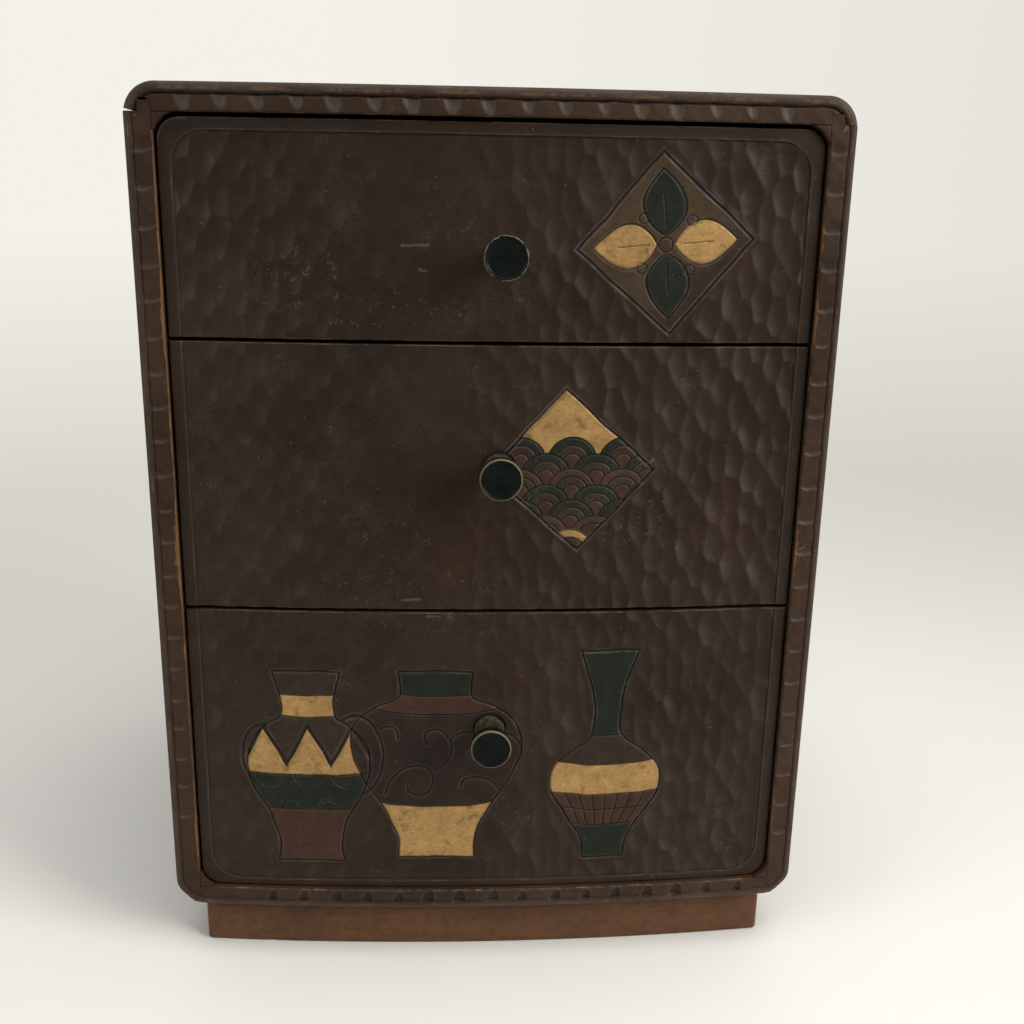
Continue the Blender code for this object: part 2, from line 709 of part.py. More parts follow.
def build_knob(drawer):
    """Make a drawer's turned knob, bored for its screw, with its foot on the front."""
    foot = KNOB_FOOT_DIAMETER / 2
    neck = KNOB_NECK_DIAMETER / 2
    head = KNOB_HEAD_DIAMETER / 2
    bore = SCREW_DIAMETER / 2 + JOINT_GAP
    depth = SCREW_GRIP + JOINT_GAP
    edge = KNOB_HEAD_EDGE
    under = KNOB_PROJECTION - KNOB_HEAD_THICKNESS
    waist = KNOB_FOOT_THICKNESS + (under - KNOB_FOOT_THICKNESS) * NECK_WAIST_SHARE
    profile = [
        (0, depth),
        (bore, depth),
        (bore, 0),
        (foot, 0),
        (foot, KNOB_FOOT_THICKNESS - edge),
        (foot - edge, KNOB_FOOT_THICKNESS),
        (neck, waist),
        (neck, under - edge),
        (head - 2 * edge, under),
        (head, under + 2 * edge),
        (head, KNOB_PROJECTION - edge),
        (head - edge, KNOB_PROJECTION),
        (head - 2 * edge, KNOB_PROJECTION),
        (head - 3 * edge, KNOB_PROJECTION - KNOB_FACE_DISH),
        (0, KNOB_PROJECTION - KNOB_FACE_DISH),
    ]
    knob = smooth(turned(f"{drawer.name}_knob", profile, TURNED_STEPS, "knob_lacquer"))
    knob.location = knob_place(drawer) - Vector((0, JOINT_GAP, 0))
    return knob


def build_screw(drawer):
    """Make the slotted screw that holds a knob from inside its drawer."""
    head = SCREW_HEAD_DIAMETER / 2
    shank = SCREW_DIAMETER / 2
    place = knob_place(drawer)
    length = FRONT_BACK_Y + JOINT_GAP - place.y + SCREW_GRIP
    profile = [
        (0, -SCREW_HEAD_THICKNESS),
        (head * SCREW_CROWN_SHARE, -SCREW_HEAD_THICKNESS),
        (head, -SCREW_HEAD_THICKNESS / 2),
        (head, 0),
        (shank, 0),
        (shank, length - SCREW_POINT),
        (0, length),
    ]
    screw = turned(f"{drawer.name}_knob_screw", profile, TURNED_STEPS // 2, "screw_steel")
    slot = block(
        "slot",
        (-head - OVERRUN, SCREW_HEAD_THICKNESS - SCREW_SLOT_DEPTH, -SCREW_SLOT_WIDTH / 2),
        (head + OVERRUN, SCREW_HEAD_THICKNESS + OVERRUN, SCREW_SLOT_WIDTH / 2),
    )
    smooth(combine(screw, slot))
    screw.location = (place.x, FRONT_BACK_Y + JOINT_GAP, place.z)
    return screw


def build_drawer(drawer):
    """Make one drawer, hung on an empty that stands where it slides from."""
    slide = bpy.data.objects.new(f"{drawer.name}_drawer_slide", None)
    slide.location = (0, FRONT_BACK_Y, drawer.low)
    slide.empty_display_size = DRAWER_SIDE_THICKNESS
    bpy.context.collection.objects.link(slide)
    side_low = drawer.low + RUNNER_RISE
    side_high = drawer.low + drawer.height - FRONT_CORNER_RADIUS
    panel_low = side_low + BOTTOM_GROOVE_RISE
    panel_high = panel_low + DRAWER_BOTTOM_THICKNESS
    rear = PANEL_Y - JOINT_GAP
    inside = HALF_FRONT - DRAWER_SIDE_THICKNESS
    pieces = [build_front(drawer, side_low, side_high, panel_low)]
    for name, side in (("left", -1), ("right", 1)):
        edges = sorted((side * inside, side * HALF_FRONT))
        board = block(
            f"{drawer.name}_drawer_{name}",
            (edges[0], FRONT_BACK_Y - FRONT_LAP + JOINT_GAP, side_low),
            (edges[1], rear, side_high),
            "plain_wood",
        )
        edges = sorted((side * (inside - OVERRUN), side * (inside + BOTTOM_GROOVE_DEPTH)))
        groove = block(
            "groove",
            (edges[0], FRONT_BACK_Y - FRONT_LAP - OVERRUN, panel_low - JOINT_GAP),
            (edges[1], rear + OVERRUN, panel_high + JOINT_GAP),
        )
        pieces.append(combine(board, groove))
    pieces.append(block(
        f"{drawer.name}_drawer_back",
        (-inside + JOINT_GAP, rear - DRAWER_BACK_THICKNESS, panel_high + JOINT_GAP),
        (inside - JOINT_GAP, rear, side_high),
        "plain_wood",
    ))
    panel_half = inside + BOTTOM_GROOVE_DEPTH - JOINT_GAP
    pieces.append(block(
        f"{drawer.name}_drawer_bottom",
        (-panel_half, FRONT_BACK_Y - BOTTOM_GROOVE_DEPTH + JOINT_GAP, panel_low),
        (panel_half, rear, panel_high),
        "plain_wood",
    ))
    for piece in pieces:
        seat(piece, slide.location, slide)
    for piece in (build_knob(drawer), build_screw(drawer)):
        piece.parent = slide
        piece.location -= slide.location


def main():
    """Build the whole sewing box."""
    clear_scene()
    build_frame()
    build_corner_blocks()
    build_back_panel()
    build_plinth()
    for drawer in DRAWERS:
        build_runners(drawer)
        build_drawer(drawer)


main()
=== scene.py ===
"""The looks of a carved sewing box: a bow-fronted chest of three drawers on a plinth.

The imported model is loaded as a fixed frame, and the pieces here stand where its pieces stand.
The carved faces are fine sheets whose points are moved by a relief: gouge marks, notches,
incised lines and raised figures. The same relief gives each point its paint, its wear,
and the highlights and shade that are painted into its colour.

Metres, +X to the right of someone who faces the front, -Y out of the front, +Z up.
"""

from __future__ import annotations

import json
import logging
import math
from contextlib import contextmanager
from dataclasses import dataclass, field, replace
from enum import Enum
from functools import cached_property
from typing import Callable, Iterator, Sequence

import bpy
import numpy as np
from mathutils import Matrix, Vector

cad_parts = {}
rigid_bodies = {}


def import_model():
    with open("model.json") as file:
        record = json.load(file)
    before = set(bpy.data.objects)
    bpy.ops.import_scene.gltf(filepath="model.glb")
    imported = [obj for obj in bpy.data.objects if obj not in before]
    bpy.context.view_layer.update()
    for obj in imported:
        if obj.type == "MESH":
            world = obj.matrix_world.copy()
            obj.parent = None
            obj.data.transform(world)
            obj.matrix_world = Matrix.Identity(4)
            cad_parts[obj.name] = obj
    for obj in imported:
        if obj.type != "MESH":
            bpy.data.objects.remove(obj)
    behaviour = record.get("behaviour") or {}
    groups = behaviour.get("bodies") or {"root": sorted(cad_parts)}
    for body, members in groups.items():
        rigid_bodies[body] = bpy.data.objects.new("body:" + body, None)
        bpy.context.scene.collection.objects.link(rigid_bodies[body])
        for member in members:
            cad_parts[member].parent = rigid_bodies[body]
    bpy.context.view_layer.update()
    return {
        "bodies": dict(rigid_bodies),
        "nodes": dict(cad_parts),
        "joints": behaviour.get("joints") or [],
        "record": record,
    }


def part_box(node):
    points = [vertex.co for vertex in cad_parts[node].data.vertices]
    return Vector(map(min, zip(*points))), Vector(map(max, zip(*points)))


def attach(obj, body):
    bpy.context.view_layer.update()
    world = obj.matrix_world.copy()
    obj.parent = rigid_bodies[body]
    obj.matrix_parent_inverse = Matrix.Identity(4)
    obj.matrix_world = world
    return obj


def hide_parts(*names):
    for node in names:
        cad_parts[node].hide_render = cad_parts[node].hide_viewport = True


log = logging.getLogger("sewing_box")

Array = np.ndarray
Colour = tuple[float, float, float]
Point = tuple[float, float]
Triple = tuple[float, float, float]
Quad = tuple[float, float, float, float]
Piece = bpy.types.Object
Tree = bpy.types.NodeTree
Node = bpy.types.Node
Socket = bpy.types.NodeSocket

FRAME_DEPTH = 0.230
FIGURE_DEPTH = 0.00055
EDGE = 0.0001
BAND_EDGE = 0.00012
FAR = 1.0


class Mask(Enum):
    """A mark that a relief leaves on the points of a face, read by the finishes."""

    PAINTED = "painted"
    GILT = "gilt"
    # worn edges and chips, and on some edges, ridges and crests a painted highlight
    WORN = "worn"
    # painted shade in grooves, notches and shaded walls, and grime in the joints
    HOLLOW = "hollow"
    BARE = "bare"
    RUBBED = "rubbed"
    # painted sheen: a pale painted highlight where a wall or roll faces the light
    SHEEN = "sheen"
    NICKED = "nicked"


class Pigment(Enum):
    """A paint used on the carved figures."""

    GOLD = (0.336, 0.203, 0.076)
    GREEN = (0.0130, 0.0168, 0.0118)
    RUSSET = (0.0470, 0.0250, 0.0170)
    UMBER = (0.0300, 0.0210, 0.0150)
    OLIVE = (0.0500, 0.0340, 0.0200)
    NIGHT = (0.0230, 0.0155, 0.0120)


class Effect(Enum):
    """An effect that finishes share, by its node group's name."""

    PATCHES = "patches"
    FLECKS = "flecks"
    NICKS = "nicks"
    GRAIN = "grain"


class Side(Enum):
    """The left or right of the box, as its sign along X."""

    LEFT = -1
    RIGHT = 1


def ease(values: Array, low: float, high: float) -> Array:
    """Rise smoothly from 0 to 1 between two values."""
    t = np.clip((values - low) / (high - low), 0, 1)
    return t * t * (3 - 2 * t)


def bump(values: Array, reach: float) -> Array:
    """Fall smoothly from 1 at zero to 0 at a reach to either side."""
    return 1 - ease(np.abs(values), 0, reach)


def hollow(share: Array) -> Array:
    """The depth of a quarter round, from 0 to 1, at shares of its width."""
    return 1 - np.sqrt(1 - share**2)


def waver(values: Array, length: float, seed: int) -> Array:
    """An uneven wave between about -1 and 1 along a run of values.

    Args:
        values: places along the run.
        length: the usual length of a wave.
        seed: picks one wave out of many.

    Returns:
        The wave's height at each place.
    """
    draw = np.random.default_rng(seed)
    total = np.zeros_like(values)
    for share in (1.0, 0.61, 0.37, 0.23):
        phase = draw.uniform(0, math.tau)
        total += share * np.sin(values * math.tau / (length * (share + 0.12)) + phase)
    return total / 1.6


def line_distance(x: Array, z: Array, points: Sequence[Point]) -> Array:
    """Distance of every sample from a line.

    Args:
        x: places across.
        z: places up.
        points: the line's corners.

    Returns:
        The distance to the nearest stretch of the line.
    """
    nearest = np.full_like(x, np.inf)
    for (x0, z0), (x1, z1) in zip(points, points[1:]):
        run_x, run_z = x1 - x0, z1 - z0
        length = run_x * run_x + run_z * run_z
        along = np.clip(((x - x0) * run_x + (z - z0) * run_z) / length, 0, 1)
        nearest = np.minimum(nearest, np.hypot(x - x0 - along * run_x, z - z0 - along * run_z))
    return nearest


def rounded_distance(x: Array, z: Array, half: float, low: float, high: float, radii: Point) -> Array:
    """How far inside an upright rectangle with rounded corners each sample lies.

    Args:
        x: places across.
        z: places up.
        half: half the rectangle's width.
        low: its lower edge.
        high: its upper edge.
        radii: the radius of its lower and of its upper corners.

    Returns:
        The distance to the outline, which is negative outside.
    """
    middle = (low + high) / 2
    radius = np.where(z < middle, radii[0], radii[1])
    over_x = np.abs(x) - half + radius
    over_z = np.abs(z - middle) - (high - low) / 2 + radius
    outside = np.hypot(np.maximum(over_x, 0), np.maximum(over_z, 0))
    return radius - outside - np.minimum(np.maximum(over_x, over_z), 0)


def smooth_line(points: Sequence[Point], steps: int) -> list[Point]:
    """A smooth line through a few points.

    Args:
        points: the points that it passes.
        steps: how many stretches it has between two of them.

    Returns:
        The line's corners.
    """
    spots = [Vector(point) for point in points]
    ends = [2 * spots[0] - spots[1]] + spots + [2 * spots[-1] - spots[-2]]
    line = []
    for before, start, stop, after in zip(ends, ends[1:], ends[2:], ends[3:]):
        for step in range(steps):
            t = step / steps
            pull = (stop - before) * t + (2 * before - 5 * start + 4 * stop - after) * t**2
            pull += (3 * start - before - 3 * stop + after) * t**3
            line.append(tuple(start + pull / 2))
    return line + [tuple(spots[-1])]


@dataclass(frozen=True)
class Bow:
    """The bowed front of the cabinet: its middle stands a rise in front of its corners."""

    half_width: float
    corner_y: float
    rise: float = 0.0072

    def front(self, x: Array) -> Array:
        """Y of the frame's front at each place across."""
        radius = (self.half_width**2 + self.rise**2) / (2 * self.rise)
        return self.corner_y - np.sqrt(radius**2 - x**2) + radius - self.rise


@dataclass
class Canvas:
    """Samples of a face, at places across and up, on which relief, paint and wear build up."""

    x: Array
    z: Array
    sway: float = 0.00022

    def __post_init__(self) -> None:
        """Start with a flat, unpainted face, and with the sway of the hand that draws on it."""
        self.drawn_x = self.x + self.sway * waver(self.z, 0.019, 61)
        self.drawn_z = self.z + self.sway * waver(self.x, 0.023, 62)
        self.drawn = (self.drawn_x, self.drawn_z)
        self.depth = np.zeros_like(self.x)
        self.paint = np.zeros((len(self.x), 4))
        self.paint[:, 3] = 1
        self.marks = {mask: np.zeros_like(self.x) for mask in Mask}

    def mark(self, mask: Mask, amount: Array) -> None:
        """Leave a mark, where it is stronger than what is there."""
        self.marks[mask] = np.maximum(self.marks[mask], amount)

    def coat(self, pigment: Pigment, cover: Array) -> None:
        """Lay a pigment over the face where its cover is 1.

        Args:
            pigment: the paint.
            cover: 1 where it covers, 0 where it doesn't.
        """
        self.paint += (np.array([*pigment.value, 1.0]) - self.paint) * cover[:, None]
        for mask, amount in ((Mask.PAINTED, 1.0), (Mask.GILT, float(pigment is Pigment.GOLD))):
            self.marks[mask] += (amount - self.marks[mask]) * cover

    def incise(
        self, distance: Array, width: float, depth: float, pale: float, where: Array | bool = True,
    ) -> None:
        """Cut a line with sloping walls, with painted shade in its bottom, and rubbed pale with a painted
        sheen on its shoulders.

        Args:
            distance: how far each sample is from the line's middle.
            width: the line's width.
            depth: how deep it is.
            pale: how pale its shoulders are, by wear and by painted sheen.
            where: the samples on which it may lie.
        """
        half = width * 0.58
        off = np.abs(np.where(where, distance, FAR))
        wall = np.clip(1 - off / half, 0, 1)
        self.depth += depth * wall
        self.marks[Mask.GILT] *= 1 - ease(wall, 0.15, 0.5)
        # painted shade in the line's bottom
        self.mark(Mask.HOLLOW, 0.62 * ease(wall, 0.15, 0.8))
        uneven = 0.62 + 0.38 * waver(self.x - self.z, 0.021, 71)
        self.mark(Mask.WORN, pale * uneven * bump(off - half * 1.05, half * 0.6))
        # painted sheen on the shoulders
        self.mark(Mask.SHEEN, 0.85 * pale * uneven * bump(off - half * 1.15, half * 0.9))

    def level(self, depth: float, cover: Array) -> None:
        """Bring part of the face to one depth."""
        self.depth += (depth - self.depth) * cover


@dataclass(frozen=True)
class GougeMarks:
    """The scoops of a gouge that cover the drawer fronts.

    Attributes:
        across: usual width of a scoop.
        up: usual height of a scoop.
        sway: how far a scoop strays from its row, as a share of those.
        table: how many columns and rows of scoops are drawn before they repeat.
    """

    across: float = 0.0060
    up: float = 0.0160
    sway: float = 0.24
    table: tuple[int, int] = (90, 48)
    seed: int = 11

    def draw(self, x: Array, z: Array) -> tuple[Array, Array, Array]:
        """Find the scoop that each sample lies in.

        Args:
            x: places across.
            z: places up.

        Returns:
            How far each sample has risen from its scoop's bottom, with 1 about at the ridges, how near
            it is to a ridge, from 0 to 1, and the painted light on its wall: painted highlight where it
            faces the light, and below 0 painted shade where it is turned away.
        """
        draw = np.random.default_rng(self.seed)
        stray = draw.uniform(-self.sway, self.sway, (*self.table, 2))
        lift = draw.uniform(-0.12, 0.12, self.table)
        tilt = draw.uniform(-0.22, 0.22, (*self.table, 2))
        painted_light = draw.uniform(0.35, 1.0, self.table)
        column = np.floor(x / self.across).astype(int)
        row = np.floor(z / self.up).astype(int)
        first, second = np.full_like(x, np.inf), np.full_like(x, np.inf)
        sheen = np.zeros_like(x)
        outwards = np.where(x < -0.01, 1.0, -1.0)
        for step in range(25):
            i = column + step // 5 - 2
            j = row + step % 5 - 2
            key = (i % self.table[0], j % self.table[1])
            across = (x - (i + 0.5 + stray[key][:, 0]) * self.across) / self.across * 1.45
            up = (z - (j + 0.25 + 0.5 * (i % 2) + stray[key][:, 1]) * self.up) / self.up * 2.0
            away = across**2 + up**2 + lift[key] + tilt[key][:, 0] * across + tilt[key][:, 1] * up
            second = np.minimum(second, np.maximum(first, away))
            # painted light on each scoop: highlight on the wall that faces the light, shade on the one turned
            # away
            facing = across * outwards - 0.55 * up
            wall = (ease(facing, -0.25, 1.2) - 0.8 * ease(-facing, 0.1, 1.2)) * painted_light[key]
            sheen = np.where(away < first, wall, sheen)
            first = np.minimum(first, away)
        apart = np.sqrt(np.maximum(second, 0)) - np.sqrt(np.maximum(first, 0))
        painted_light_share = sheen * (0.25 + 0.75 * ease(apart, 0.0, 0.26))
        return np.clip(first, 0, 1.5), 1 - ease(apart, 0.0, 0.16), painted_light_share


def wake(piece: Piece) -> None:
    """Select one piece alone and make it active.

    Args:
        piece: the piece.
    """
    bpy.ops.object.select_all(action="DESELECT")
    piece.select_set(True)
    bpy.context.view_layer.objects.active = piece


@contextmanager
def editing(piece: Piece, level: str = "FACE", action: str = "SELECT") -> Iterator[None]:
    """Hold a piece in edit mode.

    Args:
        piece: what is edited.
        level: what is selected, faces, edges or points.
        action: whether all of it is selected at first, or none.

    Returns:
        Nothing; the piece is in edit mode until the block ends.
    """
    wake(piece)
    bpy.ops.object.mode_set(mode="EDIT")
    bpy.ops.mesh.select_mode(type=level)
    bpy.ops.mesh.select_all(action=action)
    yield
    bpy.ops.object.mode_set(mode="OBJECT")


def points_of(piece: Piece) -> Array:
    """The places of a piece's points, one row each.

    Args:
        piece: the piece.

    Returns:
        The places.
    """
    flat = np.empty(len(piece.data.vertices) * 3)
    piece.data.vertices.foreach_get("co", flat)
    return flat.reshape(-1, 3)


def place_points(piece: Piece, places: Array) -> None:
    """Move a piece's points."""
    piece.data.vertices.foreach_set("co", places.ravel())
    piece.data.update()


def mark_points(piece: Piece, mask: Mask, amount: Array) -> None:
    """Leave a mark on a piece's points."""
    layer = piece.data.attributes.new(mask.value, "FLOAT", "POINT")
    layer.data.foreach_set("value", amount)


def smooth(piece: Piece, degrees: float) -> None:
    """Shade a piece smooth, but for its sharp edges."""
    wake(piece)
    bpy.ops.object.shade_smooth_by_angle(angle=math.radians(degrees))


def apply_place(piece: Piece) -> None:
    """Bring a piece's object back to the origin, with its place in its mesh."""
    wake(piece)
    bpy.ops.object.transform_apply(location=True, rotation=True, scale=True)


def modify(piece: Piece, kind: str, **settings: object) -> None:
    """Finish a piece with a modifier, and apply it.

    Args:
        piece: what it is put on.
        kind: the modifier's type.
        settings: its values.
    """
    wake(piece)
    modifier = piece.modifiers.new(kind.lower(), kind)
    for name, value in settings.items():
        setattr(modifier, name, value)
    bpy.ops.object.modifier_apply(modifier=modifier.name)


def cut_block(piece: Piece, corner: Sequence[float], opposite: Sequence[float]) -> None:
    """Cut a rectangular block out of a piece.

    Args:
        piece: what is cut.
        corner: one of the block's corners.
        opposite: the corner opposite to it.
    """
    bpy.ops.mesh.primitive_cube_add(size=1, location=(Vector(corner) + Vector(opposite)) / 2)
    cutter = bpy.context.object
    cutter.scale = [abs(length) for length in Vector(opposite) - Vector(corner)]
    apply_place(cutter)
    modify(piece, "BOOLEAN", operation="DIFFERENCE", solver="EXACT", object=cutter)
    bpy.data.objects.remove(cutter)


class Sheet:
    """A grid that is added flat and shaped into a carved face."""

    def __init__(self, name: str, columns: Array, rows: Array) -> None:
        """Add the grid.

        Args:
            name: the piece's name.
            columns: the places of its columns, across.
            rows: the places of its rows, up.
        """
        across, up = len(columns) - 1, len(rows) - 1
        bpy.ops.object.select_all(action="DESELECT")
        bpy.ops.mesh.primitive_grid_add(x_subdivisions=across, y_subdivisions=up, size=2)
        self.piece = bpy.context.object
        self.piece.name = self.piece.data.name = name
        places = points_of(self.piece)
        x = columns[np.rint((places[:, 0] + 1) / 2 * across).astype(int)]
        z = rows[np.rint((places[:, 1] + 1) / 2 * up).astype(int)]
        place_points(self.piece, np.stack([x, np.zeros_like(x), z], axis=1))

    def warp(self, moved: Callable[[Array, Array], tuple[Array, Array]]) -> None:
        """Move the points within the face, such as into round corners.

        Args:
            moved: gives each point's new place.
        """
        places = points_of(self.piece)
        places[:, 0], places[:, 2] = moved(places[:, 0], places[:, 2])
        place_points(self.piece, places)

    def keep(self, wanted: Callable[[Array, Array], Array]) -> None:
        """Delete the faces whose middles aren't wanted.

        Args:
            wanted: says which places are wanted.
        """
        polygons = self.piece.data.polygons
        middles = np.empty(len(polygons) * 3)
        polygons.foreach_get("center", middles)
        unwanted = ~wanted(middles[::3], middles[2::3])
        with editing(self.piece, action="DESELECT"):
            pass
        polygons.foreach_set("select", unwanted)
        bpy.ops.object.mode_set(mode="EDIT")
        bpy.ops.mesh.delete(type="FACE")
        bpy.ops.object.mode_set(mode="OBJECT")

    def canvas(self) -> Canvas:
        """Samples at the sheet's points."""
        places = points_of(self.piece)
        return Canvas(places[:, 0].copy(), places[:, 2].copy())

    def shape(self, canvas: Canvas, front: Array) -> None:
        """Give the points their depth behind a front, and their paint and marks.

        Args:
            canvas: the relief, sampled at the sheet's points.
            front: the front's Y at each point.
        """
        place_points(self.piece, np.stack([canvas.x, front + canvas.depth, canvas.z], axis=1))
        paint = self.piece.data.attributes.new("paint", "FLOAT_COLOR", "POINT")
        paint.data.foreach_set("color", canvas.paint.ravel())
        for mask, amount in canvas.marks.items():
            mark_points(self.piece, mask, amount)

    def close(self, back: float, turn: float = 0.0008) -> None:
        """Carry the rim back to a plane and close it there.

        Args:
            back: the plane's Y.
            turn: how far behind the rim its marks fade out.
        """
        mesh = self.piece.data
        count = len(mesh.vertices)
        with editing(self.piece, "EDGE"):
            bpy.ops.mesh.region_to_loop()
            for _ in range(2):
                bpy.ops.mesh.extrude_edges_move(TRANSFORM_OT_translate={"value": (0, turn, 0)})
            bpy.ops.transform.resize(value=(1, 0, 1), center_override=(0, back, 0))
            bpy.ops.mesh.edge_face_add()
            bpy.ops.mesh.select_all(action="SELECT")
            bpy.ops.mesh.normals_make_consistent(inside=False)
        for mask in Mask:
            layer = mesh.attributes[mask.value].data
            values = np.empty(len(mesh.vertices))
            layer.foreach_get("value", values)
            values[count:] = 0
            layer.foreach_set("value", values)


@dataclass(frozen=True)
class Zone:
    """A stretch, a reach to either side of a spot, where a sheet's rows lie a step apart."""

    spot: float
    reach: float
    step: float


def spaced(low: float, high: float, pitch: float, zones: Sequence[Zone] = ()) -> Array:
    """Places from one end to another, closer together in some zones.

    Args:
        low: the first place.
        high: the last place.
        pitch: the usual distance between two.
        zones: where they lie closer.

    Returns:
        The places, in order.
    """
    places = [low]
    while places[-1] < high:
        steps = [zone.step for zone in zones if abs(places[-1] - zone.spot) <= zone.reach]
        places.append(places[-1] + min(steps, default=pitch))
    spread = np.array(places)
    return low + (spread - low) * (high - low) / (spread[-1] - low)


def rim_zones(*spots: float) -> list[Zone]:
    """Zones where a board's face turns over its edges."""
    return [Zone(spot, 0.0009, 0.00014) for spot in spots]


class Nodes:
    """Places shader nodes in one tree and joins them."""

    def __init__(self, tree: Tree) -> None:
        """Work in a tree."""
        self.tree = tree

    @cached_property
    def place(self) -> Socket:
        """Object coordinates, or in a group the place that it is given."""
        return self.add("TexCoord").outputs["Object"]

    def add(self, kind: str, inputs: dict | None = None, **settings: object) -> Node:
        """Add a node.

        Args:
            kind: its type.
            inputs: what feeds its sockets, by name or number: another socket, or a value.
            settings: its other values.

        Returns:
            The node.
        """
        node = self.tree.nodes.new(f"ShaderNode{kind}")
        for name, value in settings.items():
            setattr(node, name, value)
        self.feed(node, inputs or {})
        return node

    def feed(self, node: Node, inputs: dict) -> None:
        """Join a node's sockets to others, or give them values.

        Args:
            node: the node.
            inputs: what feeds its sockets, by name or number.
        """
        for key, value in inputs.items():
            if isinstance(value, Socket):
                self.tree.links.new(value, node.inputs[key])
            else:
                node.inputs[key].default_value = value

    def math(self, operation: str, *values: object, clamp: bool = True) -> Socket:
        """A sum, product or the like of two values."""
        inputs = dict(enumerate(values))
        return self.add("Math", inputs, operation=operation, use_clamp=clamp).outputs[0]

    def blend(self, share: object, first: object, second: object) -> Socket:
        """Mix two colours by a share of the second."""
        first, second = (tint if isinstance(tint, Socket) else (*tint, 1.0) for tint in (first, second))
        return self.add("Mix", {0: share, 6: first, 7: second}, data_type="RGBA").outputs[2]

    def lay(self, colour: object, tint: object, mask: object, share: object) -> Socket:
        """Lay a tint over a colour by a share of a mask."""
        return self.blend(self.math("MULTIPLY", mask, share), colour, tint)

    def shade(self, colour: object, tone: object) -> Socket:
        """Multiply a colour by a tone."""
        inputs = {0: 1.0, 6: colour, 7: tone}
        return self.add("Mix", inputs, data_type="RGBA", blend_type="MULTIPLY").outputs[2]

    def mark(self, mask: Mask) -> Socket:
        """A mark that a relief left on the points."""
        return self.add("Attribute", attribute_name=mask.value).outputs["Fac"]

    def span(self, value: object, low: float, high: float, start: float = 0, stop: float = 1) -> Socket:
        """Map a value between two limits to another span."""
        inputs = {"Value": value, "From Min": low, "From Max": high, "To Min": start, "To Max": stop}
        return self.add("MapRange", inputs, clamp=True).outputs[0]

    def noise(self, scale: object, detail: float = 3, rough: float = 0.55, place: object = None) -> Socket:
        """Soft noise at a scale."""
        inputs = {"Vector": place or self.place, "Scale": scale, "Detail": detail, "Roughness": rough}
        return self.add("TexNoise", inputs).outputs["Fac"]

    def grit(self, scale: float, detail: float, rough: float, *limits: float) -> Socket:
        """Soft noise, mapped between two limits to another span."""
        return self.span(self.noise(scale, detail, rough), *limits)

    def stretch(self, *shares: float) -> Socket:
        """Stretch the place along its axes."""
        return self.add("VectorMath", {0: self.place, 1: shares}, operation="MULTIPLY").outputs[0]

    def turned(self, turn: Triple) -> Socket:
        """The place turned round the axes."""
        return self.add("Mapping", {"Vector": self.place, "Rotation": turn}).outputs[0]

    def relief(self, height: object, strength: float, distance: float) -> Socket:
        """A normal that follows fine relief."""
        inputs = {"Height": height, "Strength": strength, "Distance": distance}
        return self.add("Bump", inputs).outputs[0]

    def ragged(self, mask: Mask, noise: Socket, low: float = 0.92, high: float = 1.10) -> Socket:
        """A mark whose edge is broken up with fine noise."""
        return self.span(self.math("ADD", self.mark(mask), noise), low, high)

    def effect(self, effect: Effect, **values: object) -> dict[str, Socket]:
        """Place a shared effect.

        Args:
            effect: which one.
            values: what feeds its inputs, besides its place.

        Returns:
            Its outputs by name.
        """
        node = self.add("Group", node_tree=bpy.data.node_groups[effect.value])
        self.feed(node, {"Place": self.place, **values})
        return {socket.name: socket for socket in node.outputs}

    def patches(self, scale: float, low: float, high: float) -> Socket:
        """The shared patches between two levels of their noise."""
        return self.effect(Effect.PATCHES, Scale=scale, Low=low, High=high)["Mask"]


class SharedEffect(Nodes):
    """A node group that several finishes place, built once."""

    def __init__(self, effect: Effect, **inputs: float) -> None:
        """Start the group.

        Args:
            effect: which one it is.
            inputs: its number inputs, besides its place, with their usual values.
        """
        super().__init__(bpy.data.node_groups.new(effect.value, "ShaderNodeTree"))
        self.add_socket("Place", "INPUT", "Vector")
        for name, value in inputs.items():
            self.add_socket(name, "INPUT").default_value = value
        self.given = self.tree.nodes.new("NodeGroupInput").outputs
        self.place = self.given["Place"]

    def add_socket(self, name: str, way: str, kind: str = "Float") -> bpy.types.NodeTreeInterfaceSocket:
        """Give the group an input or an output."""
        return self.tree.interface.new_socket(name=name, in_out=way, socket_type=f"NodeSocket{kind}")

    def give(self, **outputs: Socket) -> None:
        """Put values out of the group.

        Args:
            outputs: what it puts out, by name.
        """
        for name in outputs:
            self.add_socket(name, "OUTPUT")
        self.feed(self.tree.nodes.new("NodeGroupOutput"), outputs)


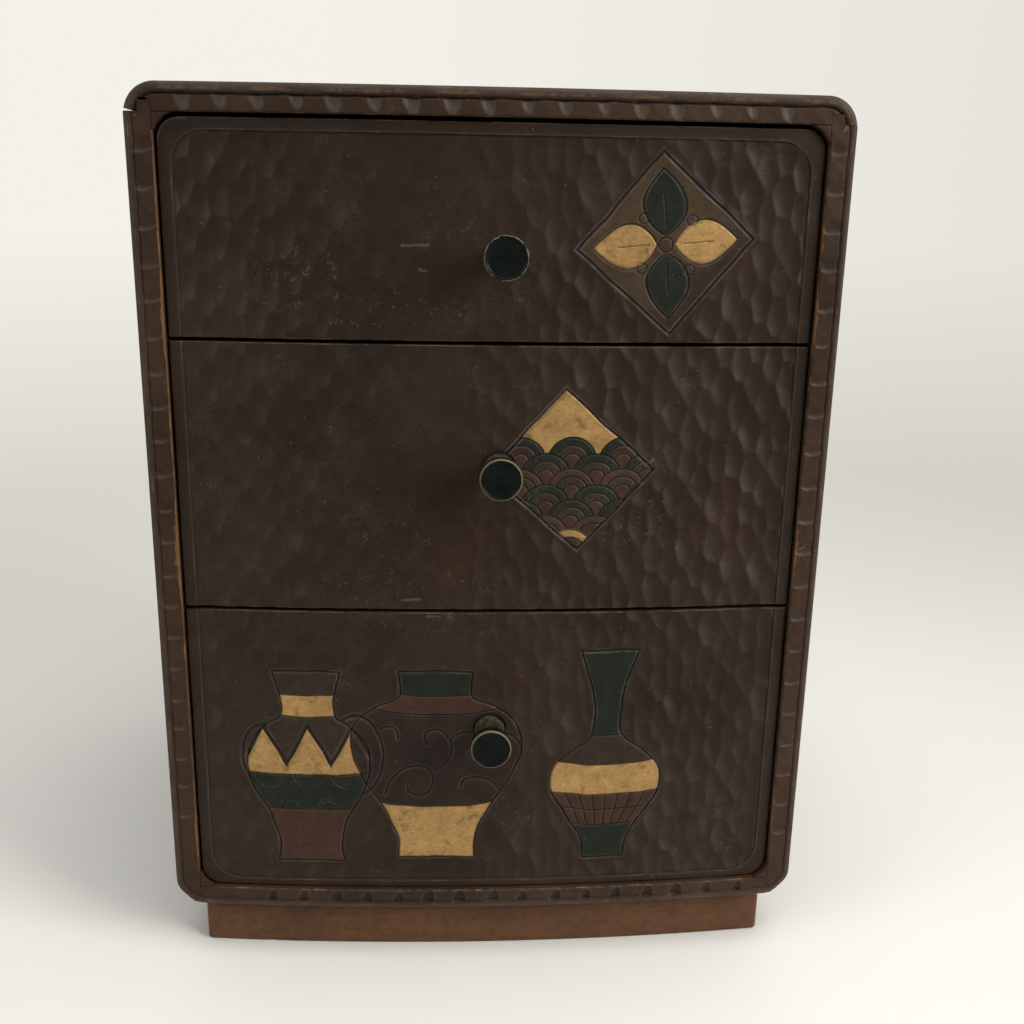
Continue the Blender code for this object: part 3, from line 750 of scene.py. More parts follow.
class Effects:
    """The effects that several finishes share."""

    def build(self) -> None:
        """Build the groups."""
        self.build_patches()
        self.build_flecks()
        self.build_nicks()
        self.build_grain()

    def build_patches(self) -> None:
        """Uneven patches, such as where the gloss has worn."""
        group = SharedEffect(Effect.PATCHES, Scale=10, Low=0.45, High=0.6)
        noise = group.noise(group.given["Scale"], 5, 0.62)
        inputs = {"Value": noise, "From Min": group.given["Low"], "From Max": group.given["High"]}
        span = group.add("MapRange", inputs, clamp=True, interpolation_type="SMOOTHSTEP")
        group.give(Mask=span.outputs[0])

    def build_flecks(self) -> None:
        """A scatter of small specks, such as dust and nicks."""
        group = SharedEffect(Effect.FLECKS, Scale=300, Size=0.2, Share=0.1)
        cells = group.add("TexVoronoi", {"Vector": group.place, "Scale": group.given["Scale"]}).outputs
        few = group.math("LESS_THAN", group.noise(900, 0, place=cells["Position"]), group.given["Share"])
        near = group.math("LESS_THAN", cells["Distance"], group.given["Size"])
        group.give(Mask=group.math("MULTIPLY", few, near))

    def build_nicks(self) -> None:
        """Short curled nicks, where something has bitten through the lacquer."""
        group = SharedEffect(Effect.NICKS, Scale=330)
        level = group.noise(group.given["Scale"], 3, 0.6)
        near = group.math("ABSOLUTE", group.math("SUBTRACT", level, 0.5, clamp=False))
        gate = group.grit(290, 3, 0.6, 0.54, 0.64)
        group.give(Mask=group.math("MULTIPLY", group.span(near, 0.007, 0.020, 1, 0), gate))

    def build_grain(self) -> None:
        """Wood grain that runs along X: fine streaks, pores and broad figure."""
        group = SharedEffect(Effect.GRAIN, Scale=1)
        scale = {0: group.place, 3: group.given["Scale"]}
        scaled = group.add("VectorMath", scale, operation="SCALE").outputs[0]
        bent = group.add("TexNoise", {"Vector": scaled, "Scale": 9, "Detail": 2}).outputs["Color"]
        shift = {0: bent, 1: (0.012, 0.012, 0.012), 2: scaled}
        group.place = group.add("VectorMath", shift, operation="MULTIPLY_ADD").outputs[0]
        group.give(
            Streaks=group.noise(1, 4, 0.6, group.stretch(14, 520, 520)),
            Pores=group.span(group.noise(1, 2, 0.5, group.stretch(60, 1500, 1500)), 0.30, 0.42),
            Figure=group.noise(1, 2, 0.5, group.stretch(4, 60, 60)),
        )


class Finish:
    """The base of every finish: a material that is made the first time it is asked for."""

    name: str
    slot: str

    def paint(self, nodes: Nodes) -> dict[str, object]:
        """Place the finish's nodes, and return what feeds the shader's sockets."""
        raise NotImplementedError

    def dress(self, piece: Piece) -> None:
        """Put the finish on a piece.

        Args:
            piece: the piece.
        """
        made = bpy.data.materials.get(self.name)
        if made is None:
            made = bpy.data.materials.new(self.name)
            made.use_nodes = True
            nodes = Nodes(made.node_tree)
            nodes.feed(made.node_tree.nodes["Principled BSDF"], self.paint(nodes))
        piece.data.materials.clear()
        piece.data.materials.append(made)


@dataclass(frozen=True)
class CarvedLacquer(Finish):
    """Dark brown lacquer over carved wood, with painted figures and worn edges, and with highlights and shade
    painted into its colour.
    """

    name: str = "carved lacquer"
    slot: str = "carved_wood"
    dark: Colour = (0.0192, 0.0125, 0.0088)
    light: Colour = (0.0290, 0.0192, 0.0134)
    rubbed: Colour = (0.0420, 0.0200, 0.0115)
    # pale: worn edges, and painted highlight on some edges and ridges
    pale: Colour = (0.1200, 0.0990, 0.0830)
    # soft: the tone of dust, and of painted sheen
    soft: Colour = (0.0760, 0.0610, 0.0510)
    bare: Colour = (0.2900, 0.1350, 0.0480)
    warm: Colour = (0.1450, 0.0960, 0.0500)
    dust: Colour = (0.2600, 0.2400, 0.2000)
    # the darkest tint: painted shade in hollows, and grime in the joints
    cracks: Colour = (0.0075, 0.0055, 0.0042)
    turn: Triple | None = None
    mottle: float = 0.34

    def paint(self, nodes: Nodes) -> dict[str, object]:
        """Place the lacquer's nodes.

        Args:
            nodes: the material's nodes.

        Returns:
            What feeds the shader's sockets.
        """
        along = nodes.turned(self.turn) if self.turn else nodes.place
        streaks = nodes.effect(Effect.GRAIN, Place=along)["Streaks"]
        colour = nodes.blend(nodes.patches(14.0, 0.35, 0.7), self.dark, self.light)
        colour = nodes.lay(colour, self.rubbed, nodes.patches(23.0, 0.53, 0.78), 0.45)
        grit = nodes.noise(1150, 2, 0.6)
        dusted = nodes.patches(70.0, 0.46, 0.84)
        colour = nodes.lay(colour, self.soft, dusted, nodes.span(grit, 0.35, 0.65, 0.05, self.mottle))
        tones = nodes.span(streaks, 0.3, 0.75, 0.88, 1.15), nodes.span(grit, 0.3, 0.7, 0.80, 1.22)
        colour = nodes.shade(colour, nodes.math("MULTIPLY", *tones))

        painted = nodes.add("Attribute", attribute_name="paint").outputs["Color"]
        speckled = nodes.span(nodes.noise(1050, 3, 0.75, nodes.stretch(0.5, 1, 1)), 0.28, 0.72, 0.74, 1.22)
        cloudy = nodes.grit(120, 4, 0.65, 0.3, 0.68, 0.74, 1.12)
        pigment = nodes.shade(painted, nodes.math("MULTIPLY", speckled, cloudy, clamp=False))
        scuffed = nodes.math("MULTIPLY", nodes.patches(210.0, 0.56, 0.72), 0.48)
        colour = nodes.lay(colour, pigment, nodes.mark(Mask.PAINTED), nodes.math("SUBTRACT", 1.0, scuffed))

        fine = nodes.noise(420, 4, 0.7)
        bare = nodes.ragged(Mask.BARE, fine)
        nicks = nodes.effect(Effect.NICKS, Scale=330.0)["Mask"]
        fibre = nodes.span(nodes.noise(1, 3, 0.6, nodes.stretch(900, 900, 120)), 0.3, 0.7, 0.35, 1.0)
        flecks = nodes.effect(Effect.FLECKS, Scale=420.0, Size=0.10, Share=0.30)["Mask"]
        for tint, mask, share in (
            # painted sheen, a highlight
            (self.soft, nodes.mark(Mask.SHEEN), nodes.span(fine, 0.25, 0.75, 0.5, 1.3)),
            # painted shade in hollows, and grime in the joints
            (self.cracks, nodes.mark(Mask.HOLLOW), 0.85),
            # wear, and painted highlight on some edges
            (self.pale, nodes.ragged(Mask.WORN, fine), 0.75),
            (self.warm, nodes.ragged(Mask.RUBBED, fine, 0.84, 1.16), 0.8),
            (self.warm, nodes.math("MULTIPLY", nicks, nodes.mark(Mask.NICKED)), 0.58),
            (self.bare, bare, fibre),
            (self.dust, flecks, 0.34),
        ):
            colour = nodes.lay(colour, tint, mask, share)

        gloss = nodes.grit(60, 4, 0.6, 0.3, 0.7, 0.34, 0.46)
        heights = nodes.math("MULTIPLY", streaks, 0.5), nodes.math("MULTIPLY", fine, 0.4)
        return {
            "Base Color": colour,
            "Roughness": nodes.math("ADD", gloss, nodes.math("MULTIPLY", bare, 0.25)),
            "Metallic": nodes.math("MULTIPLY", nodes.mark(Mask.GILT), 0.30),
            "Specular IOR Level": 0.07,
            "Normal": nodes.relief(nodes.math("ADD", *heights), 0.35, 0.0004),
        }


@dataclass(frozen=True)
class StainedWood(Finish):
    """Wood under a thin stain that shows its grain."""

    name: str = "plinth stain"
    slot: str = "plinth_wood"
    dark: Colour = (0.0680, 0.0320, 0.0165)
    light: Colour = (0.1400, 0.0670, 0.0330)
    deep_tone: Colour = (0.0330, 0.0205, 0.0135)
    pale: Colour = (0.30, 0.20, 0.13)
    rough: Point = (0.45, 0.62)
    turn: Triple = (0, 0, 0)
    fade: float = 0.4
    dark_top_levels: Point = (0.0195, 0.0232)
    streaks: Point = (0.32, 0.68)

    def paint(self, nodes: Nodes) -> dict[str, object]:
        """Place the stain's nodes.

        Args:
            nodes: the material's nodes.

        Returns:
            What feeds the shader's sockets.
        """
        grain = nodes.effect(Effect.GRAIN, Place=nodes.turned(self.turn))
        streaks = grain["Streaks"]
        colour = nodes.blend(nodes.span(streaks, *self.streaks), self.dark, self.light)
        colour = nodes.lay(colour, self.light, nodes.span(grain["Figure"], 0.35, 0.65), 0.45)
        colour = nodes.lay(colour, self.deep_tone, nodes.patches(30.0, 0.45, 0.72), self.fade)
        colour = nodes.blend(nodes.grit(260, 4, 0.7, 0.42, 0.72, 0.0, self.fade), colour, self.deep_tone)
        if self.slot == "plinth_wood":
            # the plinth is darker in a strip along its top
            level = nodes.add("SeparateXYZ", {0: nodes.place}).outputs["Z"]
            uneven = nodes.math("MULTIPLY", nodes.noise(160, 3), 0.006)
            strip = nodes.span(nodes.math("ADD", level, uneven), *self.dark_top_levels)
            colour = nodes.lay(colour, self.deep_tone, strip, 0.75)
        colour = nodes.lay(colour, self.pale, nodes.ragged(Mask.WORN, nodes.noise(420, 4, 0.7)), 0.6)
        height = nodes.math("SUBTRACT", streaks, nodes.math("MULTIPLY", grain["Pores"], 0.3))
        return {
            "Base Color": nodes.lay(colour, self.deep_tone, nodes.mark(Mask.HOLLOW), 0.8),
            "Roughness": nodes.span(streaks, 0.3, 0.7, *self.rough),
            "Specular IOR Level": 0.10,
            "Normal": nodes.relief(height, 0.4, 0.0004),
        }


@dataclass(frozen=True)
class KnobLacquer(Finish):
    """Black green lacquer on a turned knob, chipped to pale wood round its rim."""

    name: str = "knob lacquer"
    slot: str = "knob_lacquer"
    dark: Colour = (0.0026, 0.0040, 0.0040)
    light: Colour = (0.0055, 0.0078, 0.0070)
    smears: tuple[Colour, Colour] = ((0.0140, 0.0115, 0.0075), (0.0450, 0.0350, 0.0200))
    chipped: Colour = (0.2700, 0.2200, 0.1150)

    def paint(self, nodes: Nodes) -> dict[str, object]:
        """Place the lacquer's nodes.

        Args:
            nodes: the material's nodes.

        Returns:
            What feeds the shader's sockets.
        """
        colour = nodes.blend(nodes.span(nodes.noise(160, 3), 0.35, 0.65), self.dark, self.light)
        olive = nodes.blend(nodes.grit(300, 4, 0.65, 0.35, 0.62), *self.smears)
        chips = nodes.noise(520, 4, 0.75)
        worn = nodes.ragged(Mask.WORN, chips)
        gloss = nodes.span(nodes.noise(90, 4), 0.3, 0.7, 0.16, 0.30)
        colour = nodes.blend(nodes.mark(Mask.RUBBED), colour, olive)
        return {
            "Base Color": nodes.blend(worn, colour, self.chipped),
            "Roughness": nodes.math("ADD", gloss, nodes.math("MULTIPLY", worn, 0.2)),
            "Specular IOR Level": 0.05,
            "Normal": nodes.relief(chips, 0.15, 0.0003),
        }


@dataclass(frozen=True)
class ScrewSteel(Finish):
    """Plain turned steel with a little tarnish."""

    name: str = "screw steel"
    slot: str = "screw_steel"
    bright: Colour = (0.40, 0.39, 0.37)
    tarnish: Colour = (0.16, 0.09, 0.05)

    def paint(self, nodes: Nodes) -> dict[str, object]:
        """Place the steel's nodes.

        Args:
            nodes: the material's nodes.

        Returns:
            What feeds the shader's sockets.
        """
        rust = nodes.patches(420.0, 0.5, 0.68)
        return {
            "Base Color": nodes.lay(self.bright, self.tarnish, rust, 0.6),
            "Metallic": nodes.math("SUBTRACT", 1.0, nodes.math("MULTIPLY", rust, 0.5)),
            "Roughness": nodes.span(nodes.noise(700, 3), 0.3, 0.7, 0.3, 0.5),
        }


UPRIGHT: Triple = (0, math.radians(90), 0)
FRONT_TO_BACK: Triple = (0, 0, math.radians(90))

LACQUER = CarvedLacquer()
FRAME_LACQUER = CarvedLacquer(
    "frame lacquer", dark=(0.0285, 0.0168, 0.0105), light=(0.0450, 0.0265, 0.0165), mottle=0.50,
)
UPRIGHT_LACQUER = replace(FRAME_LACQUER, name="upright frame lacquer", turn=UPRIGHT)
PLINTH_STAIN = StainedWood(streaks=(0.0, 0.9))
SIDE_PLINTH_STAIN = replace(PLINTH_STAIN, name="side plinth stain", turn=FRONT_TO_BACK)
BACK_STAIN = StainedWood(
    "back stain", "back_wood", (0.060, 0.037, 0.024), (0.120, 0.075, 0.048), rough=(0.62, 0.8), turn=UPRIGHT,
)
PLAIN_WOOD = StainedWood(
    "plain wood", "plain_wood", (0.400, 0.250, 0.130), (0.560, 0.390, 0.230), (0.240, 0.150, 0.085),
    rough=(0.6, 0.78), fade=0.3,
)
PLAIN_WOOD_ALONG = replace(PLAIN_WOOD, name="plain wood along", turn=FRONT_TO_BACK)
BAMBOO = StainedWood(
    "peg bamboo", "peg_bamboo", (0.420, 0.290, 0.120), (0.620, 0.460, 0.220), (0.300, 0.190, 0.080),
    turn=FRONT_TO_BACK,
)
KNOB_FINISH = KnobLacquer()
STEEL = ScrewSteel()


@dataclass
class Workshop:
    """What every sub-assembly needs: the frame and the bow."""

    frame: dict
    bow: Bow

    def hand_over(self, piece: Piece, body: str, finish: Finish, *nodes: str) -> None:
        """Dress a finished piece and set it on its body.

        Args:
            piece: the piece.
            body: the body that it moves with.
            finish: its finish.
            nodes: the nodes that it stands for.
        """
        finish.dress(piece)
        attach(piece, body)
        if nodes:
            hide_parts(*nodes)
        log.info("%s: %d faces, on %s", piece.name, len(piece.data.polygons), body)

    def copy_of(self, node: str, name: str) -> Piece:
        """Copy a node's mesh into a new piece, with its points merged and flat faces joined.

        Args:
            node: the node.
            name: the piece's name.

        Returns:
            The piece.
        """
        piece = bpy.data.objects.new(name, self.frame["nodes"][node].data.copy())
        bpy.context.collection.objects.link(piece)
        piece.data.materials.clear()
        with editing(piece):
            bpy.ops.mesh.remove_doubles(threshold=0.000002)
            bpy.ops.mesh.dissolve_limited(angle_limit=math.radians(0.2))
        return piece

    def ease_edges(self, node: str, body: str, finish: Finish, width: float = 0.0005) -> Piece:
        """Replace a node by a copy of itself with eased edges.

        Args:
            node: the node.
            body: the body that it moves with.
            finish: its finish.
            width: how wide the edges are.

        Returns:
            The new piece.
        """
        piece = self.copy_of(node, f"{node}_eased")
        modify(
            piece, "BEVEL", width=width, segments=2, limit_method="ANGLE", angle_limit=math.radians(40),
            use_clamp_overlap=True,
        )
        smooth(piece, 40)
        self.hand_over(piece, body, finish, node)
        return piece


@dataclass(frozen=True)
class Bead:
    """The bead along a board's outer edge, and the groove that sets it off.

    Attributes:
        width: how far the groove's middle lies from the outline.
        share: how deep the groove is, as a share of the usual depth.
        reach: how far its sides are from its middle.
        darkness: how dark the groove's bottom is painted, a painted shade, and how much that changes.
        wear: how rubbed its roll is, and how much that changes.
    """

    width: float
    share: float = 0.42
    reach: float = 0.0005
    darkness: Point = (0.30, 0.25)
    wear: Point = (0.26, 0.16)


@dataclass(frozen=True)
class NotchRow:
    """A row of notches along a board.

    Attributes:
        usual: their usual size.
        sizes: the least and the greatest size, as shares of the usual one.
        stray: how far they stray from even steps.
    """

    first: float
    pitch: float
    count: int
    seed: int
    usual: float = 1.0
    sizes: Point = (0.86, 1.12)
    stray: float = 0.0006

    def spots(self) -> Iterator[Point]:
        """The place and the size of each notch in turn.

        Returns:
            Its place along the board, and its size.
        """
        draw = np.random.default_rng(self.seed)
        for index in range(self.count):
            place = self.first + index * self.pitch + draw.uniform(-self.stray, self.stray)
            yield place, self.usual * draw.uniform(*self.sizes)


@dataclass(frozen=True)
class BareEdge:
    """The stretches of a side board's inner edge that are rubbed down to bare wood.

    Attributes:
        share: how bare they are.
        stretches: the middle of each, half its length, and how wide it is.
        splits: where the bare wood runs into the band: each split's line, how bare it is and its reach.
    """

    share: float
    stretches: tuple[Triple, ...]
    splits: tuple[tuple[tuple[Point, ...], float, float], ...] = ()


TOP_BEAD = Bead(width=0.0041, share=0.8, reach=0.0007, darkness=(0.8, 0.0), wear=(0.42, 0.15))
PLAIN_BEAD = Bead(width=0.0030)
TOP_NOTCHES = NotchRow(first=-0.1093, pitch=0.0133, count=17, seed=5, sizes=(0.85, 1.1))
BOTTOM_NOTCHES = NotchRow(first=-0.0900, pitch=0.0131, count=16, seed=6, usual=0.88, sizes=(0.85, 1.1))
SIDE_NOTCHES = {
    Side.LEFT: NotchRow(first=0.3249, pitch=-0.01304, count=21, seed=7),
    Side.RIGHT: NotchRow(first=0.3278, pitch=-0.01376, count=21, seed=9),
}
BARE_EDGES = {
    Side.LEFT: BareEdge(0.78, (
        (0.300, 0.035, 0.0004), (0.266, 0.021, 0.0011), (0.228, 0.022, 0.0003),
        (0.178, 0.026, 0.0015), (0.138, 0.004, 0.0005), (0.057, 0.018, 0.0006),
    )),
    Side.RIGHT: BareEdge(0.60, (
        (0.299, 0.013, 0.0007), (0.270, 0.016, 0.0010), (0.180, 0.021, 0.0010), (0.064, 0.020, 0.0006),
    ), (
        (((0.1203, 0.1790), (0.1235, 0.1806), (0.1262, 0.1822)), 0.52, 0.0014),
        (((0.1250, 0.3370), (0.1256, 0.3385)), 0.75, 0.0012),
    )),
}


@dataclass
class FrameBoards:
    """The four boards of the cabinet, lapped at the corners, with their bead and notches.

    Attributes:
        chamfer: how far the lower corners are cut off.
        gap: the air in the joints.
        pitch: the usual distance between a face's rows.
        arris: how wide the inner edge is eased.
        softening: how round the lower corners are.
        overcut: how far a cutter reaches past what it cuts.
        slots: the open slots at the upper left joint: left and right, and low and high from the shoulder.
    """

    shop: Workshop
    half_width: float = 0.130
    thickness: float = 0.010
    corner_radius: float = 0.0115
    chamfer: float = 0.0074
    gap: float = 0.00008
    tongue_width: float = 0.0046
    tongue_height: float = 0.0036
    rabbet_width: float = 0.0056
    rabbet_depth: float = 0.0063
    pitch: float = 0.00036
    groove_depth: float = 0.0012
    band_depth: float = 0.0002
    arris: float = 0.0007
    notch_depth: float = 0.0011
    softening: float = 0.0006
    overcut: float = 0.005
    slots: tuple[Quad, ...] = (
        (-0.1310, -0.1282, -0.0010, 0.0008), (-0.1286, -0.1244, -0.0010, 0.0004),
        (-0.1243, -0.1210, 0.0030, 0.0044),
    )
    slot_depth: float = 0.035

    def __post_init__(self) -> None:
        """Read the boards' levels from the frame, and find where their joints lie."""
        self.low, self.shelf = (corner.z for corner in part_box("bottom_board"))
        self.ceiling, self.high = (corner.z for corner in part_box("top_board"))
        self.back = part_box("back_panel")[1].y
        low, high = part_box("upper_left_corner_block")
        self.block = high.x - low.x
        self.inner = self.half_width - self.thickness
        self.cut = self.inner + self.tongue_width

    def build(self) -> None:
        """Make the four boards."""
        self.end_board("top_board", TOP_BEAD, TOP_NOTCHES)
        self.end_board("bottom_board", PLAIN_BEAD, BOTTOM_NOTCHES)
        for side in Side:
            self.side_board(side)

    def rim(self, x: Array, z: Array) -> Array:
        """How far inside the cabinet's outline each sample lies.

        Args:
            x: places across.
            z: places up.

        Returns:
            The distances.
        """
        square = rounded_distance(x, z, self.half_width, self.low, self.high, (0.0, self.corner_radius))
        across = self.half_width - np.abs(x) + z - self.low - self.chamfer
        blend = self.softening * 4
        share = np.clip(0.5 + (square - across / math.sqrt(2)) / blend / 2, 0, 1)
        both = square * (1 - share) + across / math.sqrt(2) * share
        return both - blend * share * (1 - share)

    def opening(self, x: Array, z: Array) -> Array:
        """How far outside the opening for the drawers each sample lies."""
        return -rounded_distance(x, z, self.inner, self.shelf, self.ceiling, (0.0, 0.0))

    def mould(self, canvas: Canvas, bead: Bead) -> None:
        """Round the bead, cut its groove, ease the inner edge and dirty the joints, and paint shade into the
        groove and highlights on the bead and along the outer edge.

        Args:
            canvas: the board's face.
            bead: its bead.
        """
        x, z = canvas.x, canvas.z
        run = x + z
        rim = self.rim(x, z)
        sway = rim + 0.00016 * waver(run, 0.017, 3)
        roll = bead.width * 0.46
        outer = np.clip(1 - rim / roll, 0, 1)
        canvas.depth += roll * hollow(outer)
        inner = np.clip((sway - roll) / (bead.width - roll), 0, 1)
        canvas.depth += self.groove_depth * bead.share * (1 - np.sqrt(1 - inner**2 * 0.98))
        canvas.level(self.band_depth, ease(sway, bead.width, bead.width + 0.0007))
        groove = bump(sway - bead.width, bead.reach)
        canvas.depth += 0.0002 * groove + 0.00007 * waver(run, 0.011, 7) * (sway > bead.width)
        inside = self.opening(x, z)
        from_corner = np.maximum(self.inner - np.abs(x), np.minimum(z - self.shelf, self.ceiling - z))
        free = ease(from_corner, self.block * 0.8, self.block)
        turn = np.clip(1 - inside / self.arris, 0, 1) * free
        canvas.depth += self.arris * hollow(turn)
        darkness = bead.darkness[0] + bead.darkness[1] * waver(run, 0.033, 9)
        rubbed = bead.wear[0] + bead.wear[1] * waver(run, 0.029, 4)
        painted_light_share = 0.50 + 0.2 * waver(run, 0.041, 14)
        for mask, amount in (
            # painted shade in the groove's bottom
            (Mask.HOLLOW, groove * darkness),
            (Mask.RUBBED, 0.40 * bump(inside, self.arris * 1.3) * free),
            (Mask.RUBBED, bump(rim - bead.width * 0.58, bead.width * 0.40) * rubbed),
            # painted sheen, a highlight, on the bead's roll
            (Mask.SHEEN, bump(rim - bead.width * 0.30, bead.width * 0.6) * painted_light_share),
            (Mask.WORN, bump(rim - 0.0007, 0.0009) * (0.33 + 0.15 * waver(run, 0.022, 5))),
            # painted sheen, a highlight, along the outer edge
            (Mask.SHEEN, (1 - ease(rim, 0.0002, 0.0020)) * (0.45 + 0.25 * waver(run, 0.027, 6))),
        ):
            canvas.mark(mask, amount)
        self.dirty_joints(canvas)

    def dirty_joints(self, canvas: Canvas) -> None:
        """Darken the lines where the boards meet.

        Args:
            canvas: the board's face.
        """
        for shoulder, way, darkness in ((self.ceiling, 1, 0.25), (self.shelf, -1, 0.12)):
            tip = shoulder + way * self.tongue_height
            corners = (self.inner, shoulder), (self.inner, tip), (self.cut, tip), (self.cut, shoulder)
            away = line_distance(np.abs(canvas.x), canvas.z, (*corners, (self.half_width, shoulder)))
            canvas.marks[Mask.WORN] *= ease(away, 0.0, 0.0008)
            canvas.mark(Mask.HOLLOW, darkness * bump(away, 0.0006))

    def hanging_notch(self, canvas: Canvas, x: float, start: float, upward: int, size: float) -> None:
        """Cut a scoop that is deepest at the bead's groove and dies away across the band, with painted shade
        inside a rising scoop and painted sheen inside a hanging one.

        Args:
            canvas: the board's face.
            x: the scoop's place across.
            start: the level of the groove.
            upward: 1 where it rises from the groove, -1 where it hangs.
            size: its size, 1 being usual.
        """
        rise = (canvas.z - start) * upward / (0.0058 * size)
        lean = 0.0007 * np.clip(rise, 0, 1)
        across = (canvas.x - x - lean) / (0.0030 * size)
        away = np.sqrt(across**2 + np.clip(rise, 0, None) ** 2)
        here = (rise > -0.1) * np.clip(1 - away**2, 0, 1)
        canvas.depth += self.notch_depth * size * here
        if upward > 0:
            # a rising scoop: painted shade inside, and a painted highlight round its rim
            canvas.mark(Mask.HOLLOW, 0.42 * ease(here, 0.0, 0.3))
            canvas.mark(Mask.SHEEN, 0.30 * bump(away - 1.08, 0.2) * (rise > 0))
            return
        # a hanging scoop: a worn rim, and painted sheen inside, brighter to the right
        canvas.mark(Mask.WORN, 0.42 * bump(away - 0.95, 0.16) * (rise > -0.05))
        canvas.mark(Mask.SHEEN, 0.75 * ease(here, 0.0, 0.5) * (0.75 + 0.25 * np.clip(across, -1, 1)))

    def stopped_notch(self, canvas: Canvas, z: float, side: Side, size: float) -> None:
        """Cut a scoop across the band of a side board, driven down to a curved stop, with a painted highlight
        on the wall at the stop and a line of painted shade below it.

        Args:
            canvas: the board's face.
            z: where the scoop stops.
            side: which board it is.
            size: its size, 1 being usual.
        """
        middle = side.value * (self.half_width - 0.0063)
        across = (canvas.x - middle) / (0.0033 * size)
        tip = 0.0007 * np.clip(across, -1.2, 1.2) if side is Side.LEFT else 0.0
        stop = z + 0.0008 * np.clip(across**2, 0, 1.5) + tip
        rise = (canvas.z - stop) / (0.0050 * size)
        width = np.clip(1 - across**2, 0, 1) ** 0.5
        scoop = np.clip(1 - rise, 0, 1) * ease(rise, -0.04, 0.20)
        canvas.depth += self.notch_depth * 0.8 * scoop * width
        room = ease(width, 0.1, 0.6)
        toward = 0.55 + 0.45 * np.clip(across * side.value, -1, 1)
        # the wall at the stop faces up: its pale crest and sheen are painted highlight, and the line under
        # the stop is painted shade
        canvas.mark(Mask.WORN, 0.30 * bump(rise - 0.08, 0.16) * room)
        canvas.mark(Mask.SHEEN, 0.62 * toward * room * ease(rise, -0.03, 0.08) * (1 - ease(rise, 0.12, 0.5)))
        canvas.mark(Mask.HOLLOW, 0.30 * bump(rise + 0.08, 0.10) * room)

    def end_board(self, name: str, bead: Bead, notches: NotchRow) -> None:
        """Make the top or the bottom board.

        Args:
            name: its node.
            bead: its bead.
            notches: its row of notches.
        """
        is_top = name == "top_board"
        upward = 1 if is_top else -1
        low, high = (self.ceiling, self.high) if is_top else (self.low, self.shelf)
        shoulder = low if is_top else high
        radius = self.corner_radius
        centre = self.high - radius
        middle = self.half_width - (radius if is_top else self.chamfer)
        reach = math.sqrt(radius**2 - (shoulder - centre) ** 2) if is_top else self.half_width - middle
        steps = np.linspace(0, 1, 40)
        turn = middle + reach * (np.sin(steps * math.pi / 2) if is_top else steps)
        straight = spaced(-middle, middle, self.pitch * 1.3)
        columns = np.unique(np.round(np.concatenate([straight, turn, -turn]), 7))
        rows = spaced(low, high, self.pitch * 0.85, rim_zones(low, high))

        def into_corners(x: Array, z: Array) -> tuple[Array, Array]:
            """Follow the corners with the rows.

            Args:
                x: places across.
                z: places up.

            Returns:
                The points' new places.
            """
            over = np.clip(np.abs(x) - middle, 0, None)
            if is_top:
                edge = centre + np.sqrt(np.clip(radius**2 - over**2, 0, None))
            else:
                edge = self.low + over
                x = x - np.sign(x) * self.softening * (over / self.chamfer) ** 3
            share = (z - shoulder) / (high - low)
            return x, np.where(over > 0, shoulder + share * np.abs(edge - shoulder), z)

        sheet = Sheet(f"{name}_moulded", columns, rows)
        sheet.warp(into_corners)
        with editing(sheet.piece):
            bpy.ops.mesh.remove_doubles(threshold=0.00001)
        canvas = sheet.canvas()
        self.mould(canvas, bead)
        groove = self.high - bead.width if is_top else self.low + bead.width
        for x, size in notches.spots():
            self.hanging_notch(canvas, x, groove, -upward, size)
        chipped = 0.26 + 0.30 * waver(canvas.x, 0.031, 21 + upward)
        canvas.mark(Mask.BARE, bump(self.opening(canvas.x, canvas.z), 0.0007) * np.clip(chipped, 0, 0.5))
        self.finish(sheet, canvas)
        self.cut_joints(sheet.piece, shoulder, upward)
        smooth(sheet.piece, 50)
        self.shop.hand_over(sheet.piece, "cabinet", FRAME_LACQUER, name)

    def finish(self, sheet: Sheet, canvas: Canvas) -> None:
        """Give a board's sheet its relief, and close it at the back."""
        sheet.shape(canvas, self.shop.bow.front(canvas.x))
        sheet.close(self.back)

    def cut_joints(self, piece: Piece, shoulder: float, upward: int) -> None:
        """Cut an end board's two housings and its rabbet.

        Args:
            piece: the board.
            shoulder: the face that meets the side boards.
            upward: 1 for the top board, -1 for the bottom board.
        """
        near, far = self.shop.bow.corner_y - 0.02, self.back + 0.01
        below = shoulder - upward * self.overcut
        housing = shoulder + upward * (self.tongue_height + self.gap)
        for side in Side:
            edges = (side.value * (self.inner - self.gap), side.value * (self.cut + self.gap))
            cut_block(piece, (edges[0], near, below), (edges[1], far, housing))
        for left, right, low, high in (self.slots if upward > 0 else ()):
            cut_block(piece, (left, near, shoulder + low), (right, near + self.slot_depth, shoulder + high))
        half = self.inner + self.rabbet_width
        rabbet = self.back - self.rabbet_depth
        cut_block(piece, (-half, rabbet, below), (half, far, shoulder + upward * self.rabbet_width))

    def side_board(self, side: Side) -> None:
        """Make a side board, with its tongues.

        Args:
            side: which one.
        """
        name = f"{side.name.lower()}_side"
        low, high = self.shelf + self.gap, self.ceiling - self.gap
        zones = rim_zones(self.inner, self.half_width)
        columns = spaced(self.inner, self.half_width, self.pitch * 0.8, zones)
        columns = np.unique(np.append(columns, self.cut).round(7))
        rows = np.concatenate([
            spaced(self.shelf - self.tongue_height, low, self.pitch),
            spaced(low, high, self.pitch * 1.15),
            spaced(high, self.ceiling + self.tongue_height, self.pitch),
        ])

        def on_board(x: Array, z: Array) -> Array:
            """Whether a place is on the board or one of its tongues."""
            return (np.abs(x) < self.cut) | ((z > low) & (z < high))

